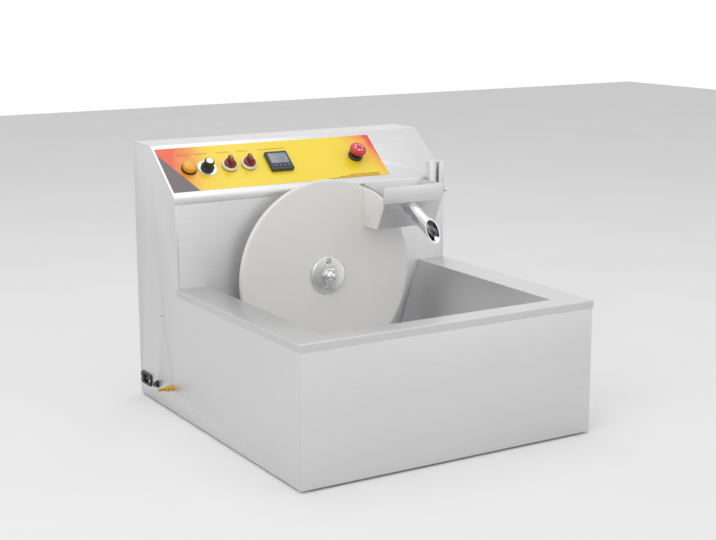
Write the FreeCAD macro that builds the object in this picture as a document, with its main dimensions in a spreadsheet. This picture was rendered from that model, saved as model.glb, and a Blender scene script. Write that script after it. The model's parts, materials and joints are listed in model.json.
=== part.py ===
"""Wheel-type chocolate tempering machine: a low tub with a heated basin, a tower with a sloped console
behind it, a driven wheel that stands in the basin and a scraper trough that takes chocolate off the wheel.

Frame: +Z up, -Y to the front, +X to the right of someone who faces the machine. The origin lies on the
floor under the middle of the body. All lengths are in millimetres, all angles in degrees.
"""
import FreeCAD, Part
import os
import re

import Sketcher
from FreeCAD import Vector

SIZES = [
    # sheet metal body
    ("body_width", 597, "across the side panels"),
    ("body_depth", 664, "front of the rim skirt to the rear cover"),
    ("body_height", 505, "floor to the flat top of the tower"),
    ("tub_height", 249, "floor to the rim"),
    ("console_edge", 418, "floor to the lower edge of the console"),
    ("tower_depth", 190, "splash panel to the rear cover"),
    ("top_depth", 83, "flat top of the tower, front to back"),
    ("panel", 1.5, "thickness of all body sheets"),
    ("flange", 15, "width of the turned-in flanges"),
    ("tower_flange", 6, "narrow flange beside the splash panel"),
    ("console_lip", 12, "turned-down lip of the console"),
    ("console_bend", 6, "inner radius of the console's bends"),
    ("foot_lift", 4, "floor to the body"),
    ("foot_width", 34, "rubber foot at its base"),
    ("foot_inset", 50, "foot centre from the sides and ends"),
    ("screw_hole", 4.3, "clearance hole of the M4 screws"),
    ("screw_shank", 4, "M4 screws"),
    ("screw_head", 7.6, "head of the M4 screws"),
    ("screw_rise", 2.6, "height of that head"),
    ("screw_length", 8, "M4 screws; the bearing's flange and the splash panel together"),
    ("cover_screw_inset", 8, "rear cover screws from its edge"),
    ("vent_length", 90, "slots in the rear cover"),
    ("vent_width", 4, "slots in the rear cover"),
    ("vent_pitch", 11, "slots in the rear cover"),
    ("vent_count", 9, "slots in each group"),
    ("vent_offset", 150, "middle of each group from the centre"),
    ("vent_low", 300, "height of the lowest slot"),
    # basin and its heating
    ("rim_side", 63, "width of the rim along the sides"),
    ("rim_front", 42, "width of the rim along the front"),
    ("rim_skirt", 14, "height of the skirt round the rim"),
    ("rim_bend", 1.2, "outer radius of the skirt's bend"),
    ("basin_slope", 18.5, "side walls from the vertical"),
    ("front_slope", 15, "front wall from the vertical"),
    ("floor_clearance", 11.5, "wheel to basin floor"),
    ("heater_width", 280, "heating plate under the basin"),
    ("heater_length", 260, "heating plate, front to back"),
    ("heater_thick", 4, "heating plate"),
    # wheel and drive
    ("wheel_diameter", 370, "tempering wheel"),
    ("wheel_height", 250.5, "floor to the wheel's axis"),
    ("wheel_thick", 12, "wheel disc"),
    ("wheel_gap", 28, "splash panel to the back of the disc"),
    ("wheel_edge", 1.5, "rounding of the disc's edges"),
    ("shaft_diameter", 20, "wheel shaft"),
    ("running_gap", 0.05, "radial clearance of what turns or slides in a bore"),
    ("hub_diameter", 74, "flanges on both sides of the disc"),
    ("hub_plate", 5, "front flange at its rim"),
    ("hub_crown", 1.5, "rise of the front flange to its middle"),
    ("back_plate", 8, "rear flange"),
    ("collar_diameter", 36, "collar of the rear flange"),
    ("collar_length", 12, "collar of the rear flange"),
    ("hub_screw_circle", 53, "bolt circle of the hub screws"),
    ("hub_screw_shank", 5, "hub screws"),
    ("hub_screw_head", 9, "hub screws"),
    ("nut_flats", 27, "shaft nut across flats"),
    ("nut_height", 5, "hexagon of the shaft nut"),
    ("nut_dome", 24, "dome of the shaft nut"),
    ("nut_thread", 14, "front end of the shaft, in the nut"),
    ("bearing_flange", 70, "square flange of the shaft bearing"),
    ("bearing_boss", 46, "boss of the shaft bearing"),
    ("bearing_length", 16, "shaft bearing"),
    ("bearing_pitch", 50, "screws of the bearing flange"),
    ("coupling_diameter", 40, "shaft coupling"),
    ("coupling_length", 30, "shaft coupling"),
    ("coupling_gap", 3.5, "coupling to its neighbours"),
    ("output_diameter", 15, "output shaft of the gearbox"),
    ("output_reach", 14, "output shaft inside the coupling"),
    ("output_root", 18, "output shaft inside the gearbox"),
    ("gearbox_size", 90, "square gearbox"),
    ("gearbox_length", 52, "gearbox"),
    ("motor_diameter", 84, "gearmotor"),
    ("motor_length", 68, "gearmotor"),
    ("rail_depth", 44, "cross rail under the gearbox, front to back"),
    ("rail_height", 43, "cross rail"),
    ("rail_sheet", 2, "cross rail"),
    # scraper unit
    ("scraper_left", 81, "outer face of the blade from the middle"),
    ("trough_width", 133.5, "blade to the right wall"),
    ("trough_gap", 0.5, "wheel to the trough"),
    ("trough_top", 422.5, "floor to the trough's upper edge"),
    ("trough_reach", 73.5, "trough, front to back at the top"),
    ("trough_sheet", 1.5, "trough walls"),
    ("band_height", 31.5, "front plate of the trough"),
    ("wall_run", 24, "front wall, how far it leans in"),
    ("wall_drop", 52, "height of the leaning front wall"),
    ("arc_gap", 2, "back wall to the edge of the wheel"),
    ("blade_thick", 4, "scraper blade"),
    ("blade_drop", 8, "top of the blade below the trough's edge, at the wheel"),
    ("blade_fall", 15, "fall of the blade's top towards the front"),
    ("blade_crown", 200, "radius of the blade's top edge"),
    ("spout_drop", 13, "band to the spout's axis, along the front wall"),
    ("pipe_outside", 26, "spout pipe"),
    ("pipe_wall", 1.5, "spout pipe"),
    ("pipe_length", 42, "spout pipe"),
    ("sleeve_outside", 29, "spout sleeve"),
    ("sleeve_start", 22.5, "trough to the sleeve"),
    ("spout_length", 83, "trough to the middle of the mouth"),
    ("mouth_angle", 35.5, "plane of the mouth to the spout's axis"),
    ("channel_left", 253, "left side of the bracket channel"),
    ("channel_width", 36, "bracket channel"),
    ("channel_depth", 13, "bracket channel"),
    ("channel_sheet", 2, "bracket channel"),
    ("channel_lip", 11.5, "front lips of the bracket channel"),
    ("channel_bottom", 375, "floor to the channel"),
    ("channel_height", 75, "bracket channel"),
    ("tab_gap", 1, "hanger tab to the channel's walls"),
    ("tab_thick", 4, "hanger tab"),
    ("tab_height", 70, "hanger tab"),
    ("arm_thick", 3, "hanger arm"),
    ("arm_height", 20, "hanger arm"),
    ("arm_lift", 8, "hanger arm above the tab's lower end"),
    ("arm_gap", 3, "hanger arm to the channel's lips"),
    ("stem_width", 8, "stem between the arm and the tab"),
    ("foot_overlap", 30, "hanger foot on the trough's wall"),
    ("rivet_pitch", 18, "rivets of the hanger foot"),
    ("rivet_shank", 3.2, "rivets"),
    ("rivet_length", 4.5, "rivets; the hanger foot and the trough's wall together"),
    ("rivet_head", 6.4, "rivets"),
    ("clamp_height", 389, "floor to the clamp screw"),
    ("clamp_shank", 5, "clamp screw"),
    ("clamp_head", 9, "head of the clamp screw"),
    ("clamp_head_length", 9, "head of the clamp screw"),
    ("clamp_nut", 4, "nut welded on the channel"),
    # console; distances run up the slope from its lower edge
    ("film_left", -294, "control film"),
    ("film_right", 174, "control film"),
    ("film_low", 15, "control film"),
    ("film_high", 127, "control film"),
    ("film_thick", 0.4, "control film"),
    ("control_row", 70, "middle line of the controls"),
    ("lamp_place", -244, "pilot lamp"),
    ("dial_place", -206, "speed dial"),
    ("selector_first", -160, "first selector switch"),
    ("selector_second", -119, "second selector switch"),
    ("controller_place", -54, "temperature controller"),
    ("stop_place", 119, "emergency stop"),
    ("barrel_diameter", 22, "threaded barrels of lamp and switches"),
    ("barrel_length", 32, "barrels behind the console"),
    ("barrel_hole", 22.4, "their holes"),
    ("bezel_diameter", 30, "bezels of lamp and switches"),
    ("bezel_height", 5, "bezels"),
    ("gasket_height", 2, "black ring under each bezel"),
    ("lens_diameter", 26, "lamp lens"),
    ("lens_height", 11, "lamp lens"),
    ("lens_rounding", 3, "shoulder of the lamp lens"),
    ("lens_crown", 1.5, "rise of the lens over its shoulder"),
    ("dial_diameter", 38, "dial plate"),
    ("dial_thick", 1.2, "dial plate"),
    ("dial_clearance", 1.5, "knob above the dial plate"),
    ("knob_skirt", 26, "speed knob at its foot"),
    ("knob_grip", 18, "speed knob at its top"),
    ("knob_height", 17, "speed knob"),
    ("cap_diameter", 14, "silver cap of the speed knob"),
    ("cap_height", 1.5, "silver cap"),
    ("pot_shaft", 6, "shaft of the potentiometer"),
    ("pot_bush", 9.5, "its threaded bush"),
    ("pot_body", 24, "its body"),
    ("pot_length", 18, "its body behind the console"),
    ("handle_width", 7, "grip of the selector knobs"),
    ("handle_height", 11, "grip of the selector knobs"),
    ("handle_disc", 4, "disc under the grip"),
    ("handle_diameter", 24, "selector knobs"),
    ("spigot_diameter", 14, "spigots of knobs and stem"),
    ("spigot_length", 10, "spigots in their barrels"),
    ("controller_size", 48, "controller frame"),
    ("controller_rise", 8, "controller frame above the film"),
    ("controller_case", 44.6, "controller case behind the console"),
    ("controller_depth", 60, "controller case"),
    ("controller_hole", 45, "cut-out of the controller"),
    ("window_width", 39, "controller window"),
    ("window_height", 26, "controller window"),
    ("window_lift", 5.5, "window above the middle of the frame"),
    ("window_thick", 1.2, "controller window"),
    ("key_width", 7, "controller keys"),
    ("key_height", 4.5, "controller keys"),
    ("key_pitch", 9.6, "controller keys"),
    ("key_row", -15.5, "keys from the middle of the frame"),
    ("key_gap", 0.35, "keys to the walls of their pockets"),
    ("key_depth", 2.2, "key pockets"),
    ("key_travel", 0.6, "controller keys"),
    ("key_proud", 0.9, "keys above the frame"),
    ("stop_collar", 30, "collar of the emergency stop"),
    ("stop_collar_height", 6, "collar"),
    ("stop_head", 34, "mushroom head"),
    ("stop_head_height", 12, "mushroom head"),
    ("stop_rounding", 4, "rounding of the mushroom head"),
    ("stop_crown", 2, "rise of the head over its rounding"),
    ("stop_neck", 8, "neck of the stem, inside the head"),
    ("stop_grip", 5, "how far the neck reaches into the head"),
    ("stop_travel", 5, "emergency stop"),
    ("stop_clearance", 1.5, "pressed head to the collar"),
    # fittings on the left side; distances from the middle of the body and from the floor
    ("inlet_place", 301, "mains inlet"),
    ("inlet_height", 38.5, "mains inlet"),
    ("inlet_length", 50, "its flange"),
    ("inlet_width", 24, "its flange"),
    ("inlet_plate", 3, "its flange"),
    ("inlet_body_length", 27, "its body"),
    ("inlet_body_width", 20, "its body"),
    ("inlet_body_depth", 24, "its body"),
    ("socket_length", 24, "socket in the inlet"),
    ("socket_width", 16.4, "socket in the inlet"),
    ("socket_depth", 18, "socket in the inlet"),
    ("pin_pitch", 7, "pins of the inlet"),
    ("pin_length", 14, "pins of the inlet"),
    ("inlet_hole_pitch", 40, "screws of the inlet"),
    ("inlet_screw", 3, "screws of the inlet"),
    ("fuse_place", 249, "fuse holder"),
    ("fuse_height", 40, "fuse holder"),
    ("fuse_flange", 15, "its flange"),
    ("fuse_barrel", 12, "its barrel"),
    ("fuse_depth", 34, "its barrel"),
    ("fuse_cap", 10, "its cap"),
    ("fuse_cap_rise", 5, "its cap above the flange"),
    ("stud_place", 177, "earth stud"),
    ("stud_height", 50, "earth stud"),
    ("stud_diameter", 6, "earth stud"),
    ("stud_reach", 31, "earth stud outside the body"),
    ("stud_root", 12, "earth stud inside the body"),
    ("stud_flats", 10, "nuts of the earth stud"),
    ("stud_nut", 5, "height of those nuts"),
    ("washer_diameter", 13, "flanges of those nuts"),
    ("washer_thick", 1.6, "flanges of those nuts"),
    ("stud_gap", 1.6, "between the two nuts"),
    # electrics on the base plate
    ("relay_length", 58, "solid-state relay"),
    ("relay_width", 45, "solid-state relay"),
    ("relay_height", 26, "solid-state relay"),
    ("drive_length", 110, "motor speed drive"),
    ("drive_width", 70, "motor speed drive"),
    ("drive_height", 34, "motor speed drive"),
    ("electrics_row", 240, "middle line of the electrics"),
]

# Places that several sub-parts share, written over the sizes.
SIDE = "(body_width/2)"
SPLASH = "(body_depth/2 - tower_depth)"
TOP_EDGE = "(body_depth/2 - top_depth)"
REAR = "(body_depth/2 - panel)"
FRONT = "(-body_depth/2 + 2*panel)"
TILT = "atan((body_height - console_edge)/(tower_depth - top_depth))"
SLOPE = "sqrt((body_height - console_edge)^2 + (tower_depth - top_depth)^2)"
LOW_MITRE = f"(({SLOPE} - (body_height - console_edge))/(tower_depth - top_depth))"
TOP_MITRE = f"(({SLOPE} - (tower_depth - top_depth))/(body_height - console_edge))"
LIP_END = "(console_edge - console_lip)"
WHEEL_FACE = "(body_depth/2 - tower_depth - wheel_gap - wheel_thick)"
FLOOR_TOP = "(wheel_height - wheel_diameter/2 - floor_clearance)"
INNER_RIM = "(body_width/2 + panel - rim_side)"
INNER_FRONT = "(-body_depth/2 + rim_front)"
# along the wheel shaft, from the wheel's face to the back
INSIDE = "(wheel_thick + wheel_gap + panel)"
COUPLING = "(wheel_thick + wheel_gap + panel + bearing_length + coupling_gap)"
GEARBOX = "(wheel_thick + wheel_gap + panel + bearing_length + 2*coupling_gap + coupling_length)"
RAIL_TOP = "(wheel_height - gearbox_size/2)"
RAIL_MIDDLE = f"({WHEEL_FACE} + {GEARBOX} + rail_depth/2)"
# scraper unit
TROUGH_BACK = f"({WHEEL_FACE} - trough_gap)"
TROUGH_FRONT = f"({WHEEL_FACE} - trough_gap - trough_reach)"
TROUGH_RIGHT = "(scraper_left + trough_width)"
STEEL_LEFT = "(scraper_left + blade_thick)"
BAND_LOW = "(trough_top - band_height)"
TROUGH_LOW = "(trough_top - band_height - wall_drop)"
WALL_ANGLE = "atan(wall_run/wall_drop)"
CHANNEL_FRONT = f"({SPLASH} - channel_depth)"
TAB_LEFT = "(channel_left + channel_sheet + tab_gap)"
TAB_RIGHT = "(channel_left + channel_width - channel_sheet - tab_gap)"
TAB_LOW = "(channel_bottom + channel_sheet + 0.3)"
ARM_LOW = f"({TAB_LOW} + arm_lift)"
TAB_BACK = f"({SPLASH} - channel_sheet - tab_gap)"

FUNCTIONS = {"sin", "cos", "tan", "atan", "sqrt", "deg"}
PLANES = {"XY": "XY_Plane", "XZ": "XZ_Plane", "YZ": "YZ_Plane"}

doc = FreeCAD.newDocument("tempering_machine")
sheet = doc.addObject("Spreadsheet::Sheet", "sizes")
for row, (alias, number, meaning) in enumerate(SIZES, start=1):
    sheet.set(f"A{row}", meaning)
    sheet.set(f"B{row}", str(number))
    sheet.setAlias(f"B{row}", alias)
doc.recompute()

pieces = []


def bound(text):
    """Turn an expression over the sizes into one that FreeCAD evaluates from the sheet."""
    return re.sub(r"[a-z]\w*", lambda word: word[0] if word[0] in FUNCTIONS else "sizes." + word[0], text)


def number_of(text):
    """Value of an expression over the sizes, now."""
    result = sheet.evalExpression(bound(str(text)))
    return float(getattr(result, "Value", result))


def frame(x="0", y="0", z="0", axis=None, angle="0"):
    """Placement expression: a shift, after a turn about one axis given as three numbers."""
    turn = ";".join(str(part) for part in (axis or (0, 0, 1)))
    return (
        f"create(<<placement>>; create(<<vector>>; {bound(x)}; {bound(y)}; {bound(z)}); "
        f"create(<<rotation>>; create(<<vector>>; {turn}); {bound(angle)}))"
    )


def console_frame(x="0", up="0"):
    """Frame on the console: x across, y up the slope, z out of the panel."""
    return frame(
        x,
        f"{SPLASH} + ({up})*(tower_depth - top_depth)/{SLOPE}",
        f"console_edge + ({up})*(body_height - console_edge)/{SLOPE}",
        (1, 0, 0),
        TILT,
    )


def wheel_frame():
    """Frame on the wheel's face: z forwards along the shaft, y up."""
    return frame("0", WHEEL_FACE, "wheel_height", (1, 0, 0), "90")


def left_frame(y, z):
    """Frame on the outside of the left panel: x up, y to the back, z outwards."""
    return frame(f"-{SIDE}", y, z, (0, 1, 0), "-90")


def rectangle(x0, y0, x1, y1):
    """Outline of a rectangle between two corners."""
    return [(x0, y0), (x1, y0), (x1, y1), (x0, y1)]


def box_outline(width, height, x="0", y="0"):
    """Outline of a rectangle about its middle."""
    return rectangle(f"{x} - {width}/2", f"{y} - {height}/2", f"{x} + {width}/2", f"{y} + {height}/2")


def hexagon(flats, x="0", y="0"):
    """Outline of a hexagon about its middle, given its size across flats."""
    corners = range(0, 360, 60)
    return [(f"{x} + {flats}/sqrt(3)*cos({turn})", f"{y} + {flats}/sqrt(3)*sin({turn})") for turn in corners]


def dome(radius, rise):
    """Radius of the arc that falls by the rise from the axis out to a given radius."""
    return f"(({radius})^2 + ({rise})^2)/(2*({rise}))"


def runs_along(edge, axis):
    """Whether a straight edge runs along a main axis."""
    if not isinstance(edge.Curve, Part.Line):
        return False
    return abs(abs(edge.Curve.Direction.dot(axis)) - 1) < 1e-6


class Piece:
    """One sub-part: a PartDesign body whose sketches and features are bound to the sizes."""

    def __init__(self, name, placement=None):
        self.body = doc.addObject("PartDesign::Body", name)
        self.body.Label = name
        if placement:
            self.body.setExpression("Placement", placement)
        pieces.append(self.body)

    def sketch(self, plane, outline, circles=(), arcs=None, shift="0", attachment=None):
        """Draw one closed outline, circles, or both, with every point bound to the sizes.

        arcs maps the number of a side to (radius, turn): the side is an arc of that radius, which runs
        counter-clockwise for a turn of 1 and clockwise for -1.
        """
        drawing = self.body.newObject("Sketcher::SketchObject", "Sketch")
        origin = self.body.Origin.OriginFeatures
        support = next(item for item in origin if item.Role == PLANES[plane])
        drawing.AttachmentSupport = (support, [""])
        drawing.MapMode = "FlatFace"
        if attachment:
            drawing.setExpression("AttachmentOffset", attachment)
        else:
            sign = "-" if plane == "XZ" else ""
            drawing.setExpression("AttachmentOffset.Base.z", bound(f"{sign}({shift})"))
        corners = [Vector(number_of(x), number_of(y), 0) for x, y in outline]
        count = len(corners)
        ends = []
        for side in range(count):
            start, end = corners[side], corners[(side + 1) % count]
            if arcs and side in arcs:
                radius, turn = number_of(arcs[side][0]), arcs[side][1]
                ends.append((2, 1) if turn < 0 else (1, 2))
                drawing.addGeometry(arc_between(start, end, radius, turn))
                drawing.addConstraint(Sketcher.Constraint("Radius", side, radius))
                drawing.setExpression(f"Constraints[{drawing.ConstraintCount - 1}]", bound(arcs[side][0]))
            else:
                ends.append((1, 2))
                drawing.addGeometry(Part.LineSegment(start, end))
        for side in range(count):
            follower = (side + 1) % count
            drawing.addConstraint(Sketcher.Constraint("Coincident", side, ends[side][1], follower, ends[follower][0]))
            for kind, text in zip(("DistanceX", "DistanceY"), outline[side]):
                self.pin(drawing, kind, (-1, 1, side, ends[side][0]), text)
        for x, y, diameter in circles:
            centre = Vector(number_of(x), number_of(y), 0)
            index = drawing.addGeometry(Part.Circle(centre, Vector(0, 0, 1), number_of(diameter)/2))
            self.pin(drawing, "DistanceX", (-1, 1, index, 3), x)
            self.pin(drawing, "DistanceY", (-1, 1, index, 3), y)
            self.pin(drawing, "Diameter", (index,), diameter)
        return drawing

    @staticmethod
    def pin(drawing, kind, where, text):
        """Add one dimension to a sketch and bind it."""
        index = drawing.addConstraint(Sketcher.Constraint(kind, *where, number_of(text)))
        drawing.setExpression(f"Constraints[{index}]", bound(text))

    def pad(self, plane, start, end, outline=(), circles=(), arcs=None):
        """Add material between two levels on the axis that crosses the plane."""
        feature = self.body.newObject("PartDesign::Pad", "Pad")
        feature.Profile = self.sketch(plane, outline, circles, arcs, shift=start)
        feature.Reversed = plane == "XZ"
        feature.setExpression("Length", bound(f"({end}) - ({start})"))
        return feature

    def cut(self, plane, start, end, outline=(), circles=(), arcs=None):
        """Remove material between two levels on the axis that crosses the plane."""
        feature = self.body.newObject("PartDesign::Pocket", "Pocket")
        feature.Profile = self.sketch(plane, outline, circles, arcs, shift=start)
        feature.Reversed = plane != "XZ"
        feature.setExpression("Length", bound(f"({end}) - ({start})"))
        return feature

    def pierce(self, attachment, depth, outline=(), circles=()):
        """Cut a hole both ways from a sketch in a frame of its own."""
        feature = self.body.newObject("PartDesign::Pocket", "Pierce")
        feature.Profile = self.sketch("XY", outline, circles, attachment=attachment)
        feature.SideType = "Symmetric"
        feature.setExpression("Length", bound(depth))
        return feature

    def revolve(self, outline, arcs=None, groove=False):
        """Turn a profile of (radius, height) points about the body's own z axis."""
        kind = "PartDesign::Groove" if groove else "PartDesign::Revolution"
        feature = self.body.newObject(kind, "Turned")
        profile = self.sketch("XZ", outline, arcs=arcs)
        feature.Profile = profile
        feature.ReferenceAxis = (profile, ["V_Axis"])
        feature.Angle = 360
        return feature

    def loft(self, low, low_outline, high, high_outline, remove=False):
        """Straight loft between two level outlines."""
        kind = "PartDesign::SubtractiveLoft" if remove else "PartDesign::AdditiveLoft"
        feature = self.body.newObject(kind, "Loft")
        feature.Profile = self.sketch("XY", low_outline, shift=low)
        feature.Sections = [self.sketch("XY", high_outline, shift=high)]
        feature.Ruled = True
        return feature

    def repeat(self, feature, direction, pitch, count):
        """Repeat a feature in a row along one of the body's axes."""
        row_of = self.body.newObject("PartDesign::LinearPattern", "Row")
        row_of.Originals = [feature]
        role = {"X": "X_Axis", "Y": "Y_Axis", "Z": "Z_Axis"}[direction]
        axis = next(item for item in self.body.Origin.OriginFeatures if item.Role == role)
        row_of.Direction = (axis, [""])
        row_of.Mode = "Spacing"
        row_of.setExpression("Offset", bound(pitch))
        row_of.setExpression("Occurrences", bound(count))
        self.body.Tip = row_of
        return row_of

    def ring_of(self, feature, count):
        """Repeat a feature round the body's z axis."""
        ring = self.body.newObject("PartDesign::PolarPattern", "Ring")
        ring.Originals = [feature]
        axis = next(item for item in self.body.Origin.OriginFeatures if item.Role == "Z_Axis")
        ring.Axis = (axis, [""])
        ring.Angle = 360
        ring.Occurrences = count
        self.body.Tip = ring
        return ring

    def dress(self, kind, size, wanted):
        """Fillet or chamfer the edges of the last feature that a test picks."""
        doc.recompute()
        base = self.body.Tip
        names = [f"Edge{number}" for number, edge in enumerate(base.Shape.Edges, 1) if wanted(edge)]
        if not names:
            raise RuntimeError(f"{self.body.Label}: no edge to dress")
        feature = self.body.newObject(f"PartDesign::{kind}", kind)
        feature.Base = (base, names)
        feature.setExpression("Radius" if kind == "Fillet" else "Size", bound(size))
        return feature


def arc_between(start, end, radius, turn):
    """Minor arc between two points of a sketch."""
    chord = end - start
    middle = (start + end)*0.5
    left = Vector(-chord.y, chord.x, 0).normalize()
    reach = max(radius*radius - chord.Length*chord.Length/4, 0)**0.5
    centre = middle + left*(reach*turn)
    first, last = (start, end) if turn > 0 else (end, start)
    circle = Part.Circle(centre, Vector(0, 0, 1), radius)
    return Part.ArcOfCircle(circle, circle.parameter(first), circle.parameter(last))


def fasteners(name, places, shank, length, head, rise):
    """Group of like screws or rivets in one node, as separate solids.

    places lists pairs: the point under the head, and the direction from the shank to the head.
    """
    shank_size, shank_length = number_of(shank)/2, number_of(length)
    head_size, head_rise = number_of(head)/2, number_of(rise)
    solids = []
    for place, toward in places:
        direction = Vector(*toward)
        seat = Vector(*(number_of(part) for part in place))
        root = Part.makeCylinder(shank_size, shank_length, seat - direction*shank_length, direction)
        cap = Part.makeCylinder(head_size, head_rise, seat, direction)
        rim = [edge for edge in cap.Edges if edge.Closed and (edge.CenterOfMass - seat).dot(direction) > head_rise/2]
        solids.append(root.fuse(cap.makeFillet(head_rise*0.4, rim)).removeSplitter())
    group = doc.addObject("Part::Feature", name)
    group.Label = name
    group.Shape = Part.makeCompound(solids)
    pieces.append(group)


# ---------------------------------------------------------------- enclosure

COVER_SCREWS = [
    (f"{side}*({SIDE} - cover_screw_inset)", height)
    for side in (-1, 1)
    for height in ("30", "tub_height*0.7", "tub_height*1.35", "body_height - 30")
]
BEARING_SCREWS = [(f"{x}*bearing_pitch/2", f"{up}*bearing_pitch/2") for x in (-1, 1) for up in (-1, 1)]
SIDE_SCREW = (RAIL_MIDDLE, f"{RAIL_TOP} - rail_height/2")


def side_panel(name, side, holes=()):
    """L-shaped side sheet with its turned-in flanges; side is -1 for left and 1 for right."""
    piece = Piece(name)
    inner, outer = f"({SIDE} - panel)", SIDE

    def across(near, far):
        """Levels in x, in rising order, of what lies between two distances from the middle."""
        return (near, far) if side > 0 else (f"-{far}", f"-{near}")

    outline = [
        (FRONT, "foot_lift"),
        (FRONT, "tub_height - panel"),
        (SPLASH, "tub_height - panel"),
        (SPLASH, LIP_END),
        (f"{SPLASH} + panel", LIP_END),
        (f"{SPLASH} + panel", f"console_edge - panel*{LOW_MITRE}"),
        (f"{TOP_EDGE} + panel*{TOP_MITRE}", "body_height - panel"),
        (REAR, "body_height - panel"),
        (REAR, "foot_lift"),
    ]
    piece.pad("YZ", *across(inner, outer), outline)
    bends = (number_of(f"{SPLASH} + panel"), number_of(f"{TOP_EDGE} + panel*{TOP_MITRE}"))
    heights = (number_of(f"console_edge - panel*{LOW_MITRE}"), number_of("body_height - panel"))

    def at_bend(edge):
        """Whether an edge runs across the sheet at one of the console's bends."""
        middle = edge.CenterOfMass
        return runs_along(edge, Vector(1, 0, 0)) and any(
            abs(middle.y - y) < 0.01 and abs(middle.z - z) < 0.01 for y, z in zip(bends, heights)
        )

    piece.dress("Fillet", "console_bend", at_bend)
    flange_inner = f"({SIDE} - flange)"
    piece.pad("XZ", FRONT, f"{FRONT} + panel",
              rectangle(across(flange_inner, inner)[0], "foot_lift + panel",
                        across(flange_inner, inner)[1], "tub_height - 2*panel"))
    piece.pad("XZ", f"{REAR} - panel", REAR,
              rectangle(across(flange_inner, inner)[0], "foot_lift + panel",
                        across(flange_inner, inner)[1], "body_height - 2*panel"))
    piece.pad("XY", "foot_lift", "foot_lift + panel",
              rectangle(across(flange_inner, inner)[0], FRONT, across(flange_inner, inner)[1], REAR))
    tower = across(f"({SIDE} - tower_flange)", inner)
    piece.pad("XZ", SPLASH, f"{SPLASH} + panel", rectangle(tower[0], "tub_height - panel", tower[1], LIP_END))
    screw_side = [(x, z) for x, z in COVER_SCREWS if x.startswith("-") == (side < 0)]
    piece.cut("XZ", f"{REAR} - 2*panel", f"{REAR} + panel",
              circles=[(x, z, "screw_hole") for x, z in screw_side])
    piece.cut("YZ", *across(f"({SIDE} - 2*panel)", f"({SIDE} + panel)"),
              circles=[(*SIDE_SCREW, "screw_hole"), *holes])
    return piece


def inlet_cut_out(piece):
    """Opening of the mains inlet in the left panel, with its two screw holes."""
    piece.pierce(left_frame("inlet_place", "inlet_height"), "6*panel",
                 box_outline("(inlet_body_width + 0.4)", "(inlet_body_length + 0.4)"))
    piece.pierce(left_frame("inlet_place", "inlet_height"), "6*panel",
                 circles=[("0", f"{side}*inlet_hole_pitch/2", "inlet_screw + 0.3") for side in (-1, 1)])


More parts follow.
